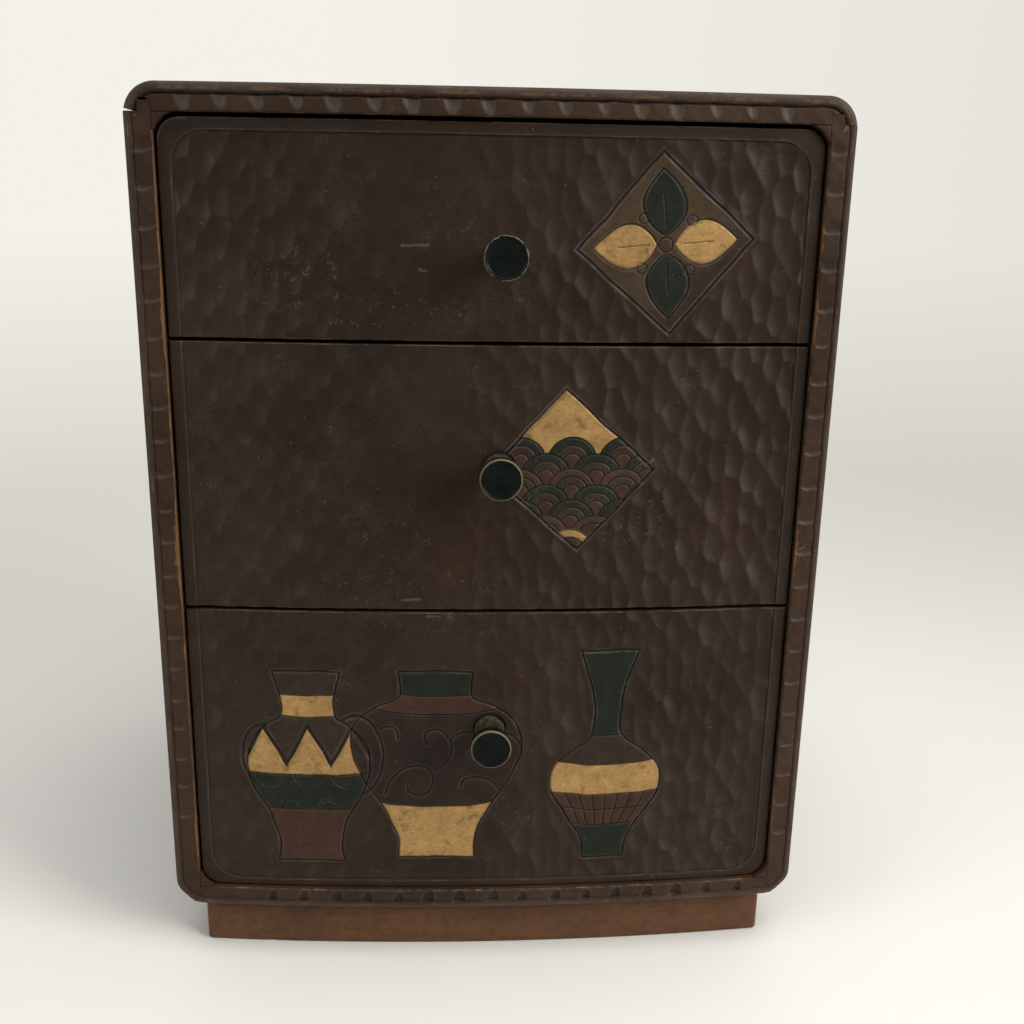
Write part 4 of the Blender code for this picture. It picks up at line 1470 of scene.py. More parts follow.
        def softened(x: Array, z: Array) -> tuple[Array, Array]:
            """Draw the lower end of the outer edge in a little.

            Args:
                x: places across.
                z: places up.

            Returns:
                The points' new places.
            """
            drawn = self.softening * np.clip(1 - (z - self.shelf) / self.chamfer, 0, 1) ** 3
            share = np.clip((np.abs(x) - self.cut) / (self.half_width - self.cut), 0, 1)
            return x - np.sign(x) * drawn * share, z

        columns = columns if side is Side.RIGHT else -columns[::-1]
        sheet = Sheet(f"{name}_moulded", columns, np.unique(rows.round(7)))
        sheet.keep(on_board)
        sheet.warp(softened)
        canvas = sheet.canvas()
        self.mould(canvas, PLAIN_BEAD)
        for z, size in SIDE_NOTCHES[side].spots():
            self.stopped_notch(canvas, z, side, size)
        self.bare_edge(canvas, side)
        self.finish(sheet, canvas)
        edges = (side.value * (self.inner - self.overcut), side.value * (self.inner + self.rabbet_width))
        rabbet = self.back - self.rabbet_depth
        cut_block(sheet.piece, (edges[0], rabbet, self.low), (edges[1], self.back + 0.01, self.high))
        smooth(sheet.piece, 50)
        self.shop.hand_over(sheet.piece, "cabinet", UPRIGHT_LACQUER, name)

    def bare_edge(self, canvas: Canvas, side: Side) -> None:
        """Rub the inner edge of a side board down to bare wood in places.

        Args:
            canvas: the board's face.
            side: which board it is.
        """
        bare = BARE_EDGES[side]
        width = np.full_like(canvas.z, 0.00004)
        for middle, half, widest in bare.stretches:
            width += widest * bump(canvas.z - middle, half)
        width *= 1 + 0.30 * waver(canvas.z, 0.006, 31 + side.value)
        inside = self.opening(canvas.x, canvas.z)
        canvas.mark(Mask.BARE, bare.share * (1 - ease(inside, width * 0.6, width * 1.3 + 0.0001)))
        for line, share, reach in bare.splits:
            canvas.mark(Mask.BARE, share * bump(line_distance(canvas.x, canvas.z, line), reach))


class Figure:
    """A figure carved on a front, with an incised outline of a width, a depth and a paleness."""

    line: float
    cut: float
    pale: float

    def inside(self, x: Array, z: Array) -> Array:
        """How far inside the figure each place is, negative outside."""
        raise NotImplementedError

    def room(self, x: Array, z: Array) -> Array:
        """How far inside the figure, or what belongs to it, each place is."""
        return self.inside(x, z)

    def fill(self, canvas: Canvas, inside: Array) -> None:
        """Carve and paint what the outline holds."""
        raise NotImplementedError

    def draw(self, canvas: Canvas) -> None:
        """Carve and paint the figure.

        Args:
            canvas: the front's face.
        """
        inside = self.inside(*canvas.drawn)
        self.fill(canvas, inside)
        canvas.incise(inside, self.line, self.cut, self.pale)


@dataclass(frozen=True)
class Band:
    """A painted band of a vase.

    Attributes:
        top: the height of its upper edge above the foot.
        sag: how far that edge's ends stand above its middle.
    """

    top: float
    sag: float
    pigment: Pigment


@dataclass(frozen=True)
class Vase(Figure):
    """A vase carved on the bottom front.

    Attributes:
        axis: its middle, across.
        profile_shares: its outline as (half width, height) shares of its height.
        bands: its painted bands, from the foot up.
    """

    axis: float
    foot: float
    height: float
    profile_shares: tuple[Point, ...]
    bands: tuple[Band, ...]
    line: float = 0.0010
    cut: float = 0.0006
    pale: float = 0.60

    def half_width(self, level: Array) -> Array:
        """Half the vase's width at heights above its foot."""
        widths, levels = self.height * np.array(smooth_line(self.profile_shares, 12)).T
        return np.interp(level, levels, widths)

    def inside(self, x: Array, z: Array) -> Array:
        """How far inside the vase each place is, negative outside.

        Args:
            x: places across.
            z: places up.

        Returns:
            The distances.
        """
        level = z - self.foot
        half = self.half_width(level)
        step = self.height / 200
        slope = (self.half_width(level + step) - self.half_width(level - step)) / (2 * step)
        across = (half - np.abs(x - self.axis)) / np.sqrt(1 + slope**2)
        ends = np.minimum(level, self.height - level)
        both = np.hypot(np.minimum(across, 0), np.minimum(ends, 0))
        return np.where(np.minimum(across, ends) < 0, -both, np.minimum(across, ends))

    def edge_level(self, band: Band, x: Array) -> Array:
        """The height of a band's upper edge at places across."""
        half = float(self.half_width(np.array([band.top]))[0])
        return band.top + band.sag * ((x - self.axis) / half) ** 2

    def fill(self, canvas: Canvas, inside: Array) -> None:
        """Paint the bands, add the ornament and cut the lines between the bands.

        Args:
            canvas: the front's face.
            inside: how far inside the vase its samples are.
        """
        level = canvas.drawn_z - self.foot
        within = ease(inside, -BAND_EDGE, BAND_EDGE)
        under = np.full_like(level, -1.0)
        edges = [self.edge_level(band, canvas.drawn_x) for band in self.bands]
        for band, upper in zip(self.bands, edges):
            above, below = (ease(away, -BAND_EDGE, BAND_EDGE) for away in (level - under, upper - level))
            canvas.coat(band.pigment, within * (above * below))
            under = upper
        self.ornament(canvas, inside, level)
        for upper in edges[:-1]:
            canvas.incise(level - upper, self.line * 0.8, self.cut * 0.8, 0.45, inside > 0)

    def ornament(self, canvas: Canvas, inside: Array, level: Array) -> None:
        """Add what the vase bears besides its bands."""


@dataclass(frozen=True)
class ZigzagJar(Vase):
    """A jar with a row of triangles, hanging scallops and ring handles.

    Attributes:
        spread: half a triangle's width.
        scallop: how far apart the scallops hang.
        rings: the middle of each handle's ring, from the axis and the foot, and its reach.
    """

    peak: float = 0.0595
    valley: float = 0.0425
    spread: float = 0.0090
    scallop: float = 0.0155
    rings: tuple[tuple[Side, Point, Point], ...] = (
        (Side.LEFT, (-0.0180, 0.0475), (0.0088, 0.0136)), (Side.RIGHT, (0.0190, 0.0480), (0.0112, 0.0178)),
    )

    def handles(self, x: Array, z: Array) -> Iterator[tuple[Side, Array]]:
        """How far outside the ring of each handle the places are.

        Args:
            x: places across.
            z: places up.

        Returns:
            The side of each handle, and the distances.
        """
        for side, middle, reach in self.rings:
            ring = np.hypot((x - self.axis - middle[0]) / reach[0], (z - self.foot - middle[1]) / reach[1])
            yield side, (ring - 1) * reach[0]

    def room(self, x: Array, z: Array) -> Array:
        """How far inside the jar or its handles each place is."""
        return np.maximum.reduce([self.inside(x, z), *(0.0008 - ring for _, ring in self.handles(x, z))])

    def ornament(self, canvas: Canvas, inside: Array, level: Array) -> None:
        """Draw the triangles, the scallops and the handles.

        Args:
            canvas: the front's face.
            inside: how far inside the vase its samples are.
            level: how high above the foot they are.
        """
        across = canvas.drawn_x - self.axis
        cycle = np.abs((across / self.spread + 1) % 2 - 1)
        crest = self.peak - (self.peak - self.valley) * cycle
        steep = math.hypot(self.spread, self.peak - self.valley) / self.spread
        away = (level - crest) / steep
        foot, base = self.bands[0].top, self.bands[1].top
        low = self.edge_level(self.bands[1], canvas.drawn_x)
        band = (level > low) & (level < self.bands[2].top - 0.001) & (inside > 0)
        canvas.coat(Pigment.GOLD, ease(-away, -EDGE, EDGE) * band)
        canvas.incise(away - 0.0006, 0.0020, 0.0007, 0.5, band)
        rising = (level > foot) & (inside > 0.0008)
        for index in (-1, 0, 1):
            ring = np.hypot(across - index * self.scallop, (level - base) * 1.15) - 0.0058
            canvas.incise(ring, 0.0009, 0.0004, 0.55, rising & (level < base))
        for index in (-0.5, 0.5):
            ring = np.hypot(across - index * self.scallop, level - foot - 0.0005) - 0.0040
            canvas.incise(ring, 0.0009, 0.0004, 0.55, rising)
        for side, ring in self.handles(*canvas.drawn):
            canvas.incise(ring, 0.0011, 0.0006, 0.60, (inside < 0) & (side.value * across > 0))


@dataclass(frozen=True)
class ScrollUrn(Vase):
    """A wide urn with scrolls on its body.

    Attributes:
        scrolls: the points that each scroll passes, from the axis and the foot.
    """

    scrolls: tuple[tuple[Point, ...], ...] = ()

    def ornament(self, canvas: Canvas, inside: Array, level: Array) -> None:
        """Draw the scrolls, and a fine line inside the body's upper edge.

        Args:
            canvas: the front's face.
            inside: how far inside the vase its samples are.
            level: how high above the foot they are.
        """
        across = canvas.drawn_x - self.axis
        body = inside > 0.0006
        for scroll in self.scrolls:
            away = line_distance(across, level, smooth_line(scroll, 5))
            canvas.incise(away, 0.0011, 0.0005, 0.55, body)
        inner = self.edge_level(self.bands[1], canvas.drawn_x) - 0.0012
        canvas.incise(level - inner, 0.0006, 0.0003, 0.3, body)


@dataclass(frozen=True)
class LatticeBottle(Vase):
    """A bottle with a flared neck and a band of lattice, drawn in a number of columns."""

    columns: int = 8

    def ornament(self, canvas: Canvas, inside: Array, level: Array) -> None:
        """Draw the lattice and the lip.

        Args:
            canvas: the front's face.
            inside: how far inside the vase its samples are.
            level: how high above the foot they are.
        """
        half = self.half_width(level)
        low, high = (self.edge_level(band, canvas.drawn_x) for band in self.bands[:2])
        here = (level > low) & (level < high) & (inside > 0)
        share = (canvas.drawn_x - self.axis) / half * self.columns / 2
        upright = (share - np.rint(share)) * half / self.columns * 2
        for away in (upright, level - (low + high) / 2):
            canvas.incise(away, 0.0009, 0.0005, 0.40, here)
        canvas.mark(Mask.WORN, 0.62 * bump(level - self.height + 0.0009, 0.0006) * (inside > 0))


@dataclass(frozen=True)
class Lozenge(Figure):
    """A diamond set in the field of a front, given by its corners, with an incised outline."""

    top: Point
    right: Point
    bottom: Point
    left: Point
    line: float = 0.0012
    cut: float = 0.0007
    pale: float = 0.95

    def shares(self, x: Array, z: Array) -> tuple[Array, Array, Array, Array]:
        """Places as shares of the half diagonals, and in metres from the middle.

        Args:
            x: places across.
            z: places up.

        Returns:
            The shares of the wide and the tall half diagonal, and the two distances.
        """
        wide = ((self.right[0] - self.left[0]) / 2, (self.right[1] - self.left[1]) / 2)
        tall = ((self.top[0] - self.bottom[0]) / 2, (self.top[1] - self.bottom[1]) / 2)
        area = wide[0] * tall[1] - wide[1] * tall[0]
        away_x = x - (self.right[0] + self.left[0]) / 2
        away_z = z - (self.top[1] + self.bottom[1]) / 2
        p = (away_x * tall[1] - away_z * tall[0]) / area
        q = (away_z * wide[0] - away_x * wide[1]) / area
        return p, q, away_x, away_z

    def inside(self, x: Array, z: Array) -> Array:
        """How far inside the diamond each place is, negative outside.

        Args:
            x: places across.
            z: places up.

        Returns:
            The distances.
        """
        step = 0.0001
        p, q, _, _ = self.shares(x, z)
        slopes = []
        for next_x, next_z in ((x + step, z), (x, z + step)):
            next_p, next_q, _, _ = self.shares(next_x, next_z)
            slopes.append(np.sign(p) * (next_p - p) + np.sign(q) * (next_q - q))
        return (1 - (np.abs(p) + np.abs(q))) / (np.hypot(*slopes) / step + 1e-9)


@dataclass(frozen=True)
class FlowerLozenge(Lozenge):
    """A diamond that holds a flower of four petals.

    Attributes:
        petal: where a petal starts and ends, as shares of the half diagonal.
        heart: how wide the flower's heart is.
        berries: how far the small rings stand from the middle.
    """

    petal: Point = (0.10, 0.82)
    heart: float = 0.0026
    berries: float = 0.0125

    def fill(self, canvas: Canvas, inside: Array) -> None:
        """Draw the petals, their veins and the flower's heart.

        Args:
            canvas: the front's face.
            inside: how far inside the diamond its samples are.
        """
        within = ease(inside, -EDGE, EDGE)
        p, q, away_x, away_z = self.shares(*canvas.drawn)
        scale = (self.right[0] - self.left[0]) / 2
        canvas.coat(Pigment.OLIVE, within)
        canvas.coat(Pigment.UMBER, within * ease(p - q, 0.1, 0.9))
        room = inside > self.line * 0.7
        start, stop = self.petal
        for reach, across, pigment in (
            (p, q, Pigment.GOLD), (-p, q, Pigment.GOLD), (q, p, Pigment.GREEN), (-q, p, Pigment.GREEN),
        ):
            share = np.clip((reach - start) / 0.72, 0, 1)
            width = 0.245 * np.sin(math.pi * share**0.85) ** 0.9
            away = (width - np.abs(across)) * scale * 0.9
            away = np.where((reach > start) & (reach < stop), away, -0.003)
            canvas.coat(pigment, ease(away, -EDGE, EDGE) * room)
            canvas.incise(away, 0.0010, 0.0006, 0.7, room)
            canvas.incise(across * scale, 0.0007, 0.0004, 0.3, (share > 0.12) & (share < 0.62) & room)
        heart = np.hypot(away_x, away_z) - self.heart
        canvas.coat(Pigment.RUSSET, ease(-heart, -EDGE, EDGE))
        canvas.incise(heart, 0.0009, 0.0005, 0.5)
        for degrees in (45, 135, 225, 315):
            angle = math.radians(degrees)
            middle = (self.berries * math.cos(angle), self.berries * math.sin(angle))
            ring = np.hypot(away_x - middle[0], away_z - middle[1]) - 0.0019
            canvas.incise(ring, 0.0007, 0.0004, 0.35, room)


@dataclass(frozen=True)
class WaveLozenge(Lozenge):
    """A diamond that holds rows of overlapping waves under a plain sky.

    Attributes:
        first: the level of the back row, from the middle.
        rings: the radii of a wave's rings, as shares of its own.
    """

    radius: float = 0.0098
    rows: int = 9
    first: float = 0.0035
    rings: Triple = (1.0, 0.70, 0.38)

    def fill(self, canvas: Canvas, inside: Array) -> None:
        """Draw the waves from the back row to the front one.

        Args:
            canvas: the front's face.
            inside: how far inside the diamond its samples are.
        """
        within = ease(inside, -EDGE, EDGE)
        _, _, away_x, away_z = self.shares(*canvas.drawn)
        canvas.coat(Pigment.GOLD, within)
        room = within * (inside > 0)
        for row in range(self.rows):
            level = self.first - row * self.radius * 0.62
            nearest = (away_x - self.radius * (row % 2)) / (2 * self.radius)
            across = (nearest - np.rint(nearest)) * 2 * self.radius
            away = np.hypot(across, away_z - level)
            outer = Pigment.GOLD if row >= 6 else Pigment.RUSSET if row % 3 == 2 else Pigment.GREEN
            for share, pigment in zip(self.rings, (outer, Pigment.UMBER, Pigment.RUSSET)):
                canvas.coat(pigment, ease(self.radius * share - away, -EDGE, EDGE) * room)
            flat = ease(self.radius - away, -EDGE, EDGE) * room > 0.5
            for mask in (Mask.HOLLOW, Mask.WORN):
                canvas.marks[mask] = np.where(flat, 0, canvas.marks[mask])
            canvas.depth = np.where(flat, FIGURE_DEPTH, canvas.depth)
            for share in self.rings:
                canvas.incise(away - self.radius * share + 0.0004, 0.0009, 0.0005, 0.45, flat)


JAR = ZigzagJar(
    axis=-0.0732, foot=0.0446, height=0.0848,
    profile_shares=(
        (0.160, 0.00), (0.150, 0.10), (0.185, 0.24), (0.262, 0.38), (0.292, 0.50), (0.276, 0.62),
        (0.200, 0.72), (0.132, 0.77), (0.124, 0.86), (0.160, 1.00),
    ),
    bands=(
        Band(0.0235, 0.0006, Pigment.RUSSET), Band(0.0392, 0.0010, Pigment.GREEN),
        Band(0.0647, 0.0012, Pigment.UMBER), Band(0.0741, 0.0006, Pigment.GOLD),
        Band(0.1000, 0.0, Pigment.UMBER),
    ),
)
URN = ScrollUrn(
    axis=-0.0216, foot=0.04655, height=0.0834,
    profile_shares=(
        (0.185, 0.00), (0.190, 0.12), (0.255, 0.27), (0.350, 0.42), (0.412, 0.58), (0.392, 0.72),
        (0.290, 0.81), (0.182, 0.86), (0.170, 0.92), (0.180, 1.00),
    ),
    bands=(
        Band(0.0232, 0.0016, Pigment.GOLD), Band(0.0645, 0.0030, Pigment.NIGHT),
        Band(0.0725, 0.0010, Pigment.RUSSET), Band(0.1000, 0.0, Pigment.GREEN),
    ),
    scrolls=(
        ((-0.0228, 0.0577), (-0.0204, 0.0593), (-0.0172, 0.0591), (-0.0155, 0.0569), (-0.0153, 0.0542)),
        (
            (-0.0034, 0.0512), (-0.0047, 0.0543), (-0.0032, 0.0572), (0.0005, 0.0579), (0.0038, 0.0563),
            (0.0061, 0.0516), (0.0055, 0.0462), (0.0029, 0.0418), (-0.0004, 0.0397),
        ),
        (
            (-0.0208, 0.0290), (-0.0187, 0.0349), (-0.0146, 0.0395), (-0.0093, 0.0418), (-0.0044, 0.0413),
            (-0.0016, 0.0377), (-0.0016, 0.0332), (-0.0037, 0.0295), (-0.0077, 0.0286), (-0.0110, 0.0303),
            (-0.0116, 0.0332),
        ),
        (
            (0.0061, 0.0525), (0.0069, 0.0545), (0.0097, 0.0565), (0.0137, 0.0573), (0.0190, 0.0571),
            (0.0247, 0.0568), (0.0295, 0.0559), (0.0328, 0.0534), (0.0347, 0.0504),
        ),
        (
            (0.0098, 0.0322), (0.0114, 0.0357), (0.0151, 0.0369), (0.0192, 0.0362), (0.0233, 0.0339),
            (0.0260, 0.0309),
        ),
    ),
)
BOTTLE = LatticeBottle(
    axis=0.0480, foot=0.0451, height=0.0933,
    profile_shares=(
        (0.090, 0.00), (0.105, 0.10), (0.175, 0.22), (0.238, 0.33), (0.236, 0.44), (0.165, 0.52),
        (0.075, 0.59), (0.056, 0.68), (0.070, 0.82), (0.126, 1.00),
    ),
    bands=(
        Band(0.0150, 0.0012, Pigment.GREEN), Band(0.0290, 0.0016, Pigment.RUSSET),
        Band(0.0425, 0.0022, Pigment.GOLD), Band(0.0560, 0.0, Pigment.UMBER),
        Band(0.1000, 0.0, Pigment.GREEN),
    ),
)
FLOWER = FlowerLozenge(
    top=(0.0605, 0.3289), right=(0.0946, 0.2996), bottom=(0.0659, 0.2642), left=(0.0297, 0.2946),
)
WAVES = WaveLozenge(
    top=(0.0273, 0.2433), right=(0.0617, 0.2136), bottom=(0.0331, 0.1807), left=(-0.0018, 0.2126),
)

# A knob's outline, from its foot: radius and reach.
KNOB_PROFILE = (
    (0.00570, 0.0000), (0.00600, 0.0004), (0.00600, 0.0014), (0.00570, 0.0020), (0.00510, 0.0023),
    (0.00470, 0.0030), (0.00448, 0.0042), (0.00438, 0.0060), (0.00440, 0.0080), (0.00450, 0.0100),
    (0.00480, 0.0116), (0.00560, 0.0126), (0.00660, 0.0132), (0.00745, 0.0140), (0.00785, 0.0150),
    (0.00800, 0.0160), (0.00800, 0.0176), (0.00793, 0.0183), (0.00775, 0.0188), (0.00750, 0.0190),
    (0.00715, 0.0190), (0.00695, 0.01885), (0.00665, 0.0186), (0.00600, 0.0185), (0.00300, 0.0184),
)


@dataclass(frozen=True)
class Plate:
    """A stretch of a front, between its edges, that is carved finely enough for its figure."""

    name: str
    left: float
    right: float
    low: float
    high: float
    pitch: float = 0.00026


@dataclass
class Drawer:
    """One drawer: its carved front, and its box and knob behind and before it.

    Attributes:
        knob: the knob's place, across and up.
        rounded: whether its upper and its lower corners are round.
        gouging: how deep the gouge marks are at the left, in the middle and at the right.
        scuffs: where it is nicked: the middle of each spot and its reach, across and up.
        scratches: the ends of its scratches.
        painted_light: how strong the painted highlights and shade on its gouge marks are at the left and at
            the right.
        pitch: the distance between the front's columns.
        floor: how deep the gouged field lies.
        seat_radius: the radius of the flat seat under the knob.
        slab: how far in front of the box's middle the carved slab ends.
        margin: how far a finely carved stretch goes past its figure.
        lip: how far the front stands past its solid at each side.
        overrun: how far the gouged field runs past an edge that has no border.
        edge_zone: the reach and the step of the finer rows at the edges.
        border_zone: the same at the border's inner edge.
        corner_zone: the same in the round corners.
    """

    shop: Workshop
    name: str
    figures: tuple[Figure, ...]
    plates: tuple[Plate, ...]
    knob: Point
    rounded: tuple[bool, bool]
    gouging: Triple
    scuffs: tuple[Quad, ...]
    scratches: tuple[tuple[Point, Point], ...]
    painted_light: Point
    pitch: float
    recess: float = 0.0025
    corner_radius: float = 0.008
    border: float = 0.0047
    end_borders: Point = (0.0043, 0.0030)
    border_radius: float = 0.012
    floor: float = 0.00105
    arris: float = 0.00055
    seat_radius: float = 0.0064
    seat_depth: float = 0.0012
    fine: float = 0.00026
    slab: float = 0.0975
    margin: float = 0.0014
    lip: float = 0.0004
    overrun: float = 0.05
    edge_zone: Point = (0.0013, 0.00017)
    border_zone: Point = (0.0012, 0.00017)
    corner_zone: Point = (0.0085, 0.00032)
    marks: GougeMarks = field(default_factory=GougeMarks)

    def __post_init__(self) -> None:
        """Read the front's size from the frame."""
        low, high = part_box(f"{self.name}_drawer_front")
        self.half = high.x + self.lip
        self.low, self.high = low.z, high.z
        self.body = f"{self.name}_drawer"
        self.ends = tuple(zip((1, -1), (self.high, self.low), self.end_borders, self.rounded))
        upper, lower = (
            edge - way * (border if is_round else -self.overrun) for way, edge, border, is_round in self.ends
        )
        self.field_levels = (lower, upper)

    def build(self) -> None:
        """Make all that the drawer has."""
        self.build_front()
        for plate in self.plates:
            self.build_plate(plate)
        self.build_knob()
        for part in ("left", "right", "back", "bottom"):
            finish = PLAIN_WOOD_ALONG if part in ("left", "right") else PLAIN_WOOD
            self.shop.ease_edges(f"{self.body}_{part}", self.body, finish)
        self.shop.ease_edges(f"{self.name}_knob_screw", self.body, STEEL, 0.00012)

    def edge(self, x: Array, z: Array) -> Array:
        """How far inside the front's outline each place lies."""
        upper, lower = (self.corner_radius * is_round for is_round in self.rounded)
        return rounded_distance(x, z, self.half, self.low, self.high, (lower, upper))

    def field_edge(self, x: Array, z: Array) -> Array:
        """How far inside the gouged field each place lies."""
        return rounded_distance(x, z, self.half - self.border, *self.field_levels, (self.border_radius,) * 2)

    def figure_room(self, x: Array, z: Array) -> Array:
        """How far inside the nearest figure each place lies."""
        return np.maximum.reduce([np.full_like(x, -1.0), *(figure.room(x, z) for figure in self.figures)])

    def relieve(self, canvas: Canvas) -> None:
        """Carve the border, the gouged field, the figures and the knob's seat, and paint highlights and shade
        on the carving.

        Args:
            canvas: the front's face.
        """
        x, z = canvas.x, canvas.z
        edge = self.edge(x, z)
        canvas.depth += self.arris * 0.8 * hollow(np.clip(1 - edge / self.arris, 0, 1))
        corner = ease(-x, 0.103, 0.112) * ease(z - self.high, -0.016, -0.004) * self.rounded[0]
        inside = self.field_edge(x, z)
        rise, ridge, painted_light = self.marks.draw(x, z)
        left, middle, right = self.gouging
        strength = middle + (left - middle) * ease(-x, 0.025, 0.075) + (right - middle) * ease(x, -0.01, 0.06)
        wall = ease(inside, -0.00005, 0.00035)
        floor = self.floor * (0.62 + 0.38 * ease(inside, 0.0, 0.005))
        canvas.depth += (floor - 0.75 * strength * rise) * wall
        room = self.figure_room(*canvas.drawn)
        clear = 1 - ease(room, -0.0030, -0.0008)
        worn = ridge * wall * clear * (0.8 + 0.3 * waver(x + 2 * z, 0.03, 47))
        sides = self.painted_light[0] * ease(-x, 0.03, 0.09) + self.painted_light[1] * ease(x, -0.02, 0.05)
        patchy = 0.70 + 0.40 * waver(x + 3 * z, 0.045, 53)
        shoulder = 0.40 + 0.16 * waver(x - z, 0.04, 43)
        for mask, amount in (
            (Mask.RUBBED, bump(edge - 0.0002, 0.0005) * (0.50 + 0.16 * waver(x + z, 0.05, 41))),
            # painted highlight on the upper left corner's edge
            (Mask.WORN, 0.85 * corner * bump(edge - 0.0006, 0.0007)),
            # painted shade inside the field's step
            (Mask.HOLLOW, 0.7 * bump(inside - 0.0004, 0.0005)),
            (Mask.WORN, shoulder * bump(inside + 0.0002, 0.0005)),
            # painted sheen at the field's step
            (Mask.SHEEN, 0.22 * bump(inside + 0.0003, 0.0007)),
            # pale worn ridges, stronger towards the right as painted highlight
            (Mask.WORN, worn * (0.16 + 0.18 * ease(x, -0.05, 0.08))),
            # painted highlight on gouge walls that face the light
            (Mask.SHEEN, painted_light * wall * clear * (0.10 + sides) * patchy),
            # painted shade on gouge walls turned away from the light
            (Mask.HOLLOW, -painted_light * wall * clear * (0.16 + 0.22 * sides) * patchy),
        ):
            canvas.mark(mask, amount)
        canvas.level(FIGURE_DEPTH, (1 - clear) * wall)
        for figure in self.figures:
            figure.draw(canvas)
        for spot_x, spot_z, reach_x, reach_z in self.scuffs:
            near = np.hypot((x - spot_x) / reach_x, (z - spot_z) / reach_z)
            canvas.mark(Mask.NICKED, ease(1 - near, 0.0, 0.5) * wall)
        for ends in self.scratches:
            near = line_distance(*canvas.drawn, ends)
            canvas.mark(Mask.RUBBED, 0.70 * bump(near, 0.0011))
        away = np.hypot(x - self.knob[0], z - self.knob[1])
        canvas.mark(Mask.NICKED, 0.8 * bump(away, 0.019) * wall)
        canvas.level(self.seat_depth, 1 - ease(away, self.seat_radius - 0.0001, self.seat_radius + 0.0002))

    def into_corners(self, x: Array, z: Array) -> tuple[Array, Array]:
        """Move the points of the square corners into round ones.

        Args:
            x: places across.
            z: places up.

        Returns:
            The points' new places.
        """
        radius = self.corner_radius
        for way, edge, _, is_round in self.ends:
            across = np.clip((np.abs(x) - self.half + radius) / radius, 0, 1)
            up = np.clip(((z - edge) * way + radius) / radius, 0, 1)
            corner = (across > 0) & (up > 0) & is_round
            moved_x = np.sign(x) * (self.half - radius + radius * across * np.sqrt(1 - up**2 / 2))
            moved_z = edge - way * radius + way * radius * up * np.sqrt(1 - across**2 / 2)
            x, z = np.where(corner, moved_x, x), np.where(corner, moved_z, z)
        return x, z

    def carve(self, sheet: Sheet, recut: Callable[[Array], Array]) -> None:
        """Give a sheet the front's relief.

        Args:
            sheet: the sheet.
            recut: how much deeper it is cut, by how far inside a figure each point is.
        """
        canvas = sheet.canvas()
        self.relieve(canvas)
        canvas.depth += recut(self.figure_room(*canvas.drawn))
        sheet.shape(canvas, self.shop.bow.front(canvas.x) + self.recess)

    def build_front(self) -> None:
        """Make the front: a carved slab, and behind it the part with the laps and the groove."""
        node = f"{self.body}_front"
        corner = self.corner_zone[0]
        spots = [(self.half, self.edge_zone), (self.half - self.border, self.border_zone)]
        if any(self.rounded):
            spots.append((self.half - corner, self.corner_zone))
        across = [Zone(way * spot, *zone) for spot, zone in spots for way in (-1, 1)]
        up = [Zone(edge, *self.edge_zone) for edge in (self.low, self.high)]
        for way, edge, border, is_round in self.ends:
            if is_round:
                up.append(Zone(edge - way * border, *self.border_zone))
                up.append(Zone(edge - way * corner, *self.corner_zone))
        columns = spaced(-self.half, self.half, self.pitch, across)
        sheet = Sheet(f"{node}_carved", columns, spaced(self.low, self.high, self.pitch, up))
        sheet.warp(self.into_corners)
        self.carve(sheet, lambda room: 0.0006 * ease(room, -0.0006, 0.0002))
        sheet.close(-self.slab)
        rear = self.shop.copy_of(node, f"{node}_rear")
        with editing(rear):
            plane = {"plane_co": (0, -self.slab, 0), "plane_no": (0, 1, 0)}
            bpy.ops.mesh.bisect(**plane, use_fill=True, clear_inner=True)
        wake(sheet.piece)
        rear.select_set(True)
        bpy.ops.object.join()
        smooth(sheet.piece, 45)
        self.shop.hand_over(sheet.piece, self.body, LACQUER, node)

    def build_plate(self, plate: Plate) -> None:
        """Make a finely carved stretch of the front, let into it.

        Args:
            plate: the stretch.
        """
        columns = spaced(plate.left, plate.right, plate.pitch)
        sheet = Sheet(plate.name, columns, spaced(plate.low, plate.high, self.fine))
        sheet.keep(lambda x, z: self.figure_room(x, z) > -self.margin)
        rim = -self.margin, -self.margin + 0.0005
        self.carve(sheet, lambda room: 0.00012 * (1 - ease(room, *rim)) - 0.00003)
        sheet.close(-self.slab - 0.001, 0.0004)
        smooth(sheet.piece, 60)
        self.shop.hand_over(sheet.piece, self.body, LACQUER)

    def build_knob(self) -> None:
        """Make the turned knob."""
        node = f"{self.name}_knob"
        low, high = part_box(node)
        middle_x, middle_z = (low.x + high.x) / 2, (low.z + high.z) / 2
        bpy.ops.object.select_all(action="DESELECT")
        bpy.ops.mesh.primitive_circle_add(vertices=96, radius=KNOB_PROFILE[0][0], fill_type="NGON")
        knob = bpy.context.object
        knob.name = f"{node}_turned"
        with editing(knob):
            for (radius, reach), (next_radius, next_reach) in zip(KNOB_PROFILE, KNOB_PROFILE[1:]):
                step = {"value": (0, 0, next_reach - reach)}
                bpy.ops.mesh.extrude_region_move(TRANSFORM_OT_translate=step)
                share = next_radius / radius
                bpy.ops.transform.resize(value=(share, share, 1), center_override=(0, 0, 0))
            bpy.ops.mesh.select_all(action="SELECT")
            bpy.ops.mesh.normals_make_consistent(inside=False)
        knob.rotation_euler = (math.radians(90), 0, 0)
        knob.location = (middle_x, high.y, middle_z)
        apply_place(knob)
        x, y, z = points_of(knob).T
        radius = np.hypot(x - middle_x, z - middle_z)
        reach = high.y - y
        chipped = 0.50 + 0.20 * waver(np.arctan2(z, x - middle_x), 2.4, len(self.name))
        worn = np.maximum.reduce([
            chipped * ease(radius, 0.0071, 0.0075) * ease(reach, 0.0178, 0.0184),
            0.46 * bump(reach - 0.0148, 0.0012),
            0.44 * bump(reach - 0.0018, 0.0008) * (radius > 0.0055),
        ])
        mark_points(knob, Mask.WORN, worn)
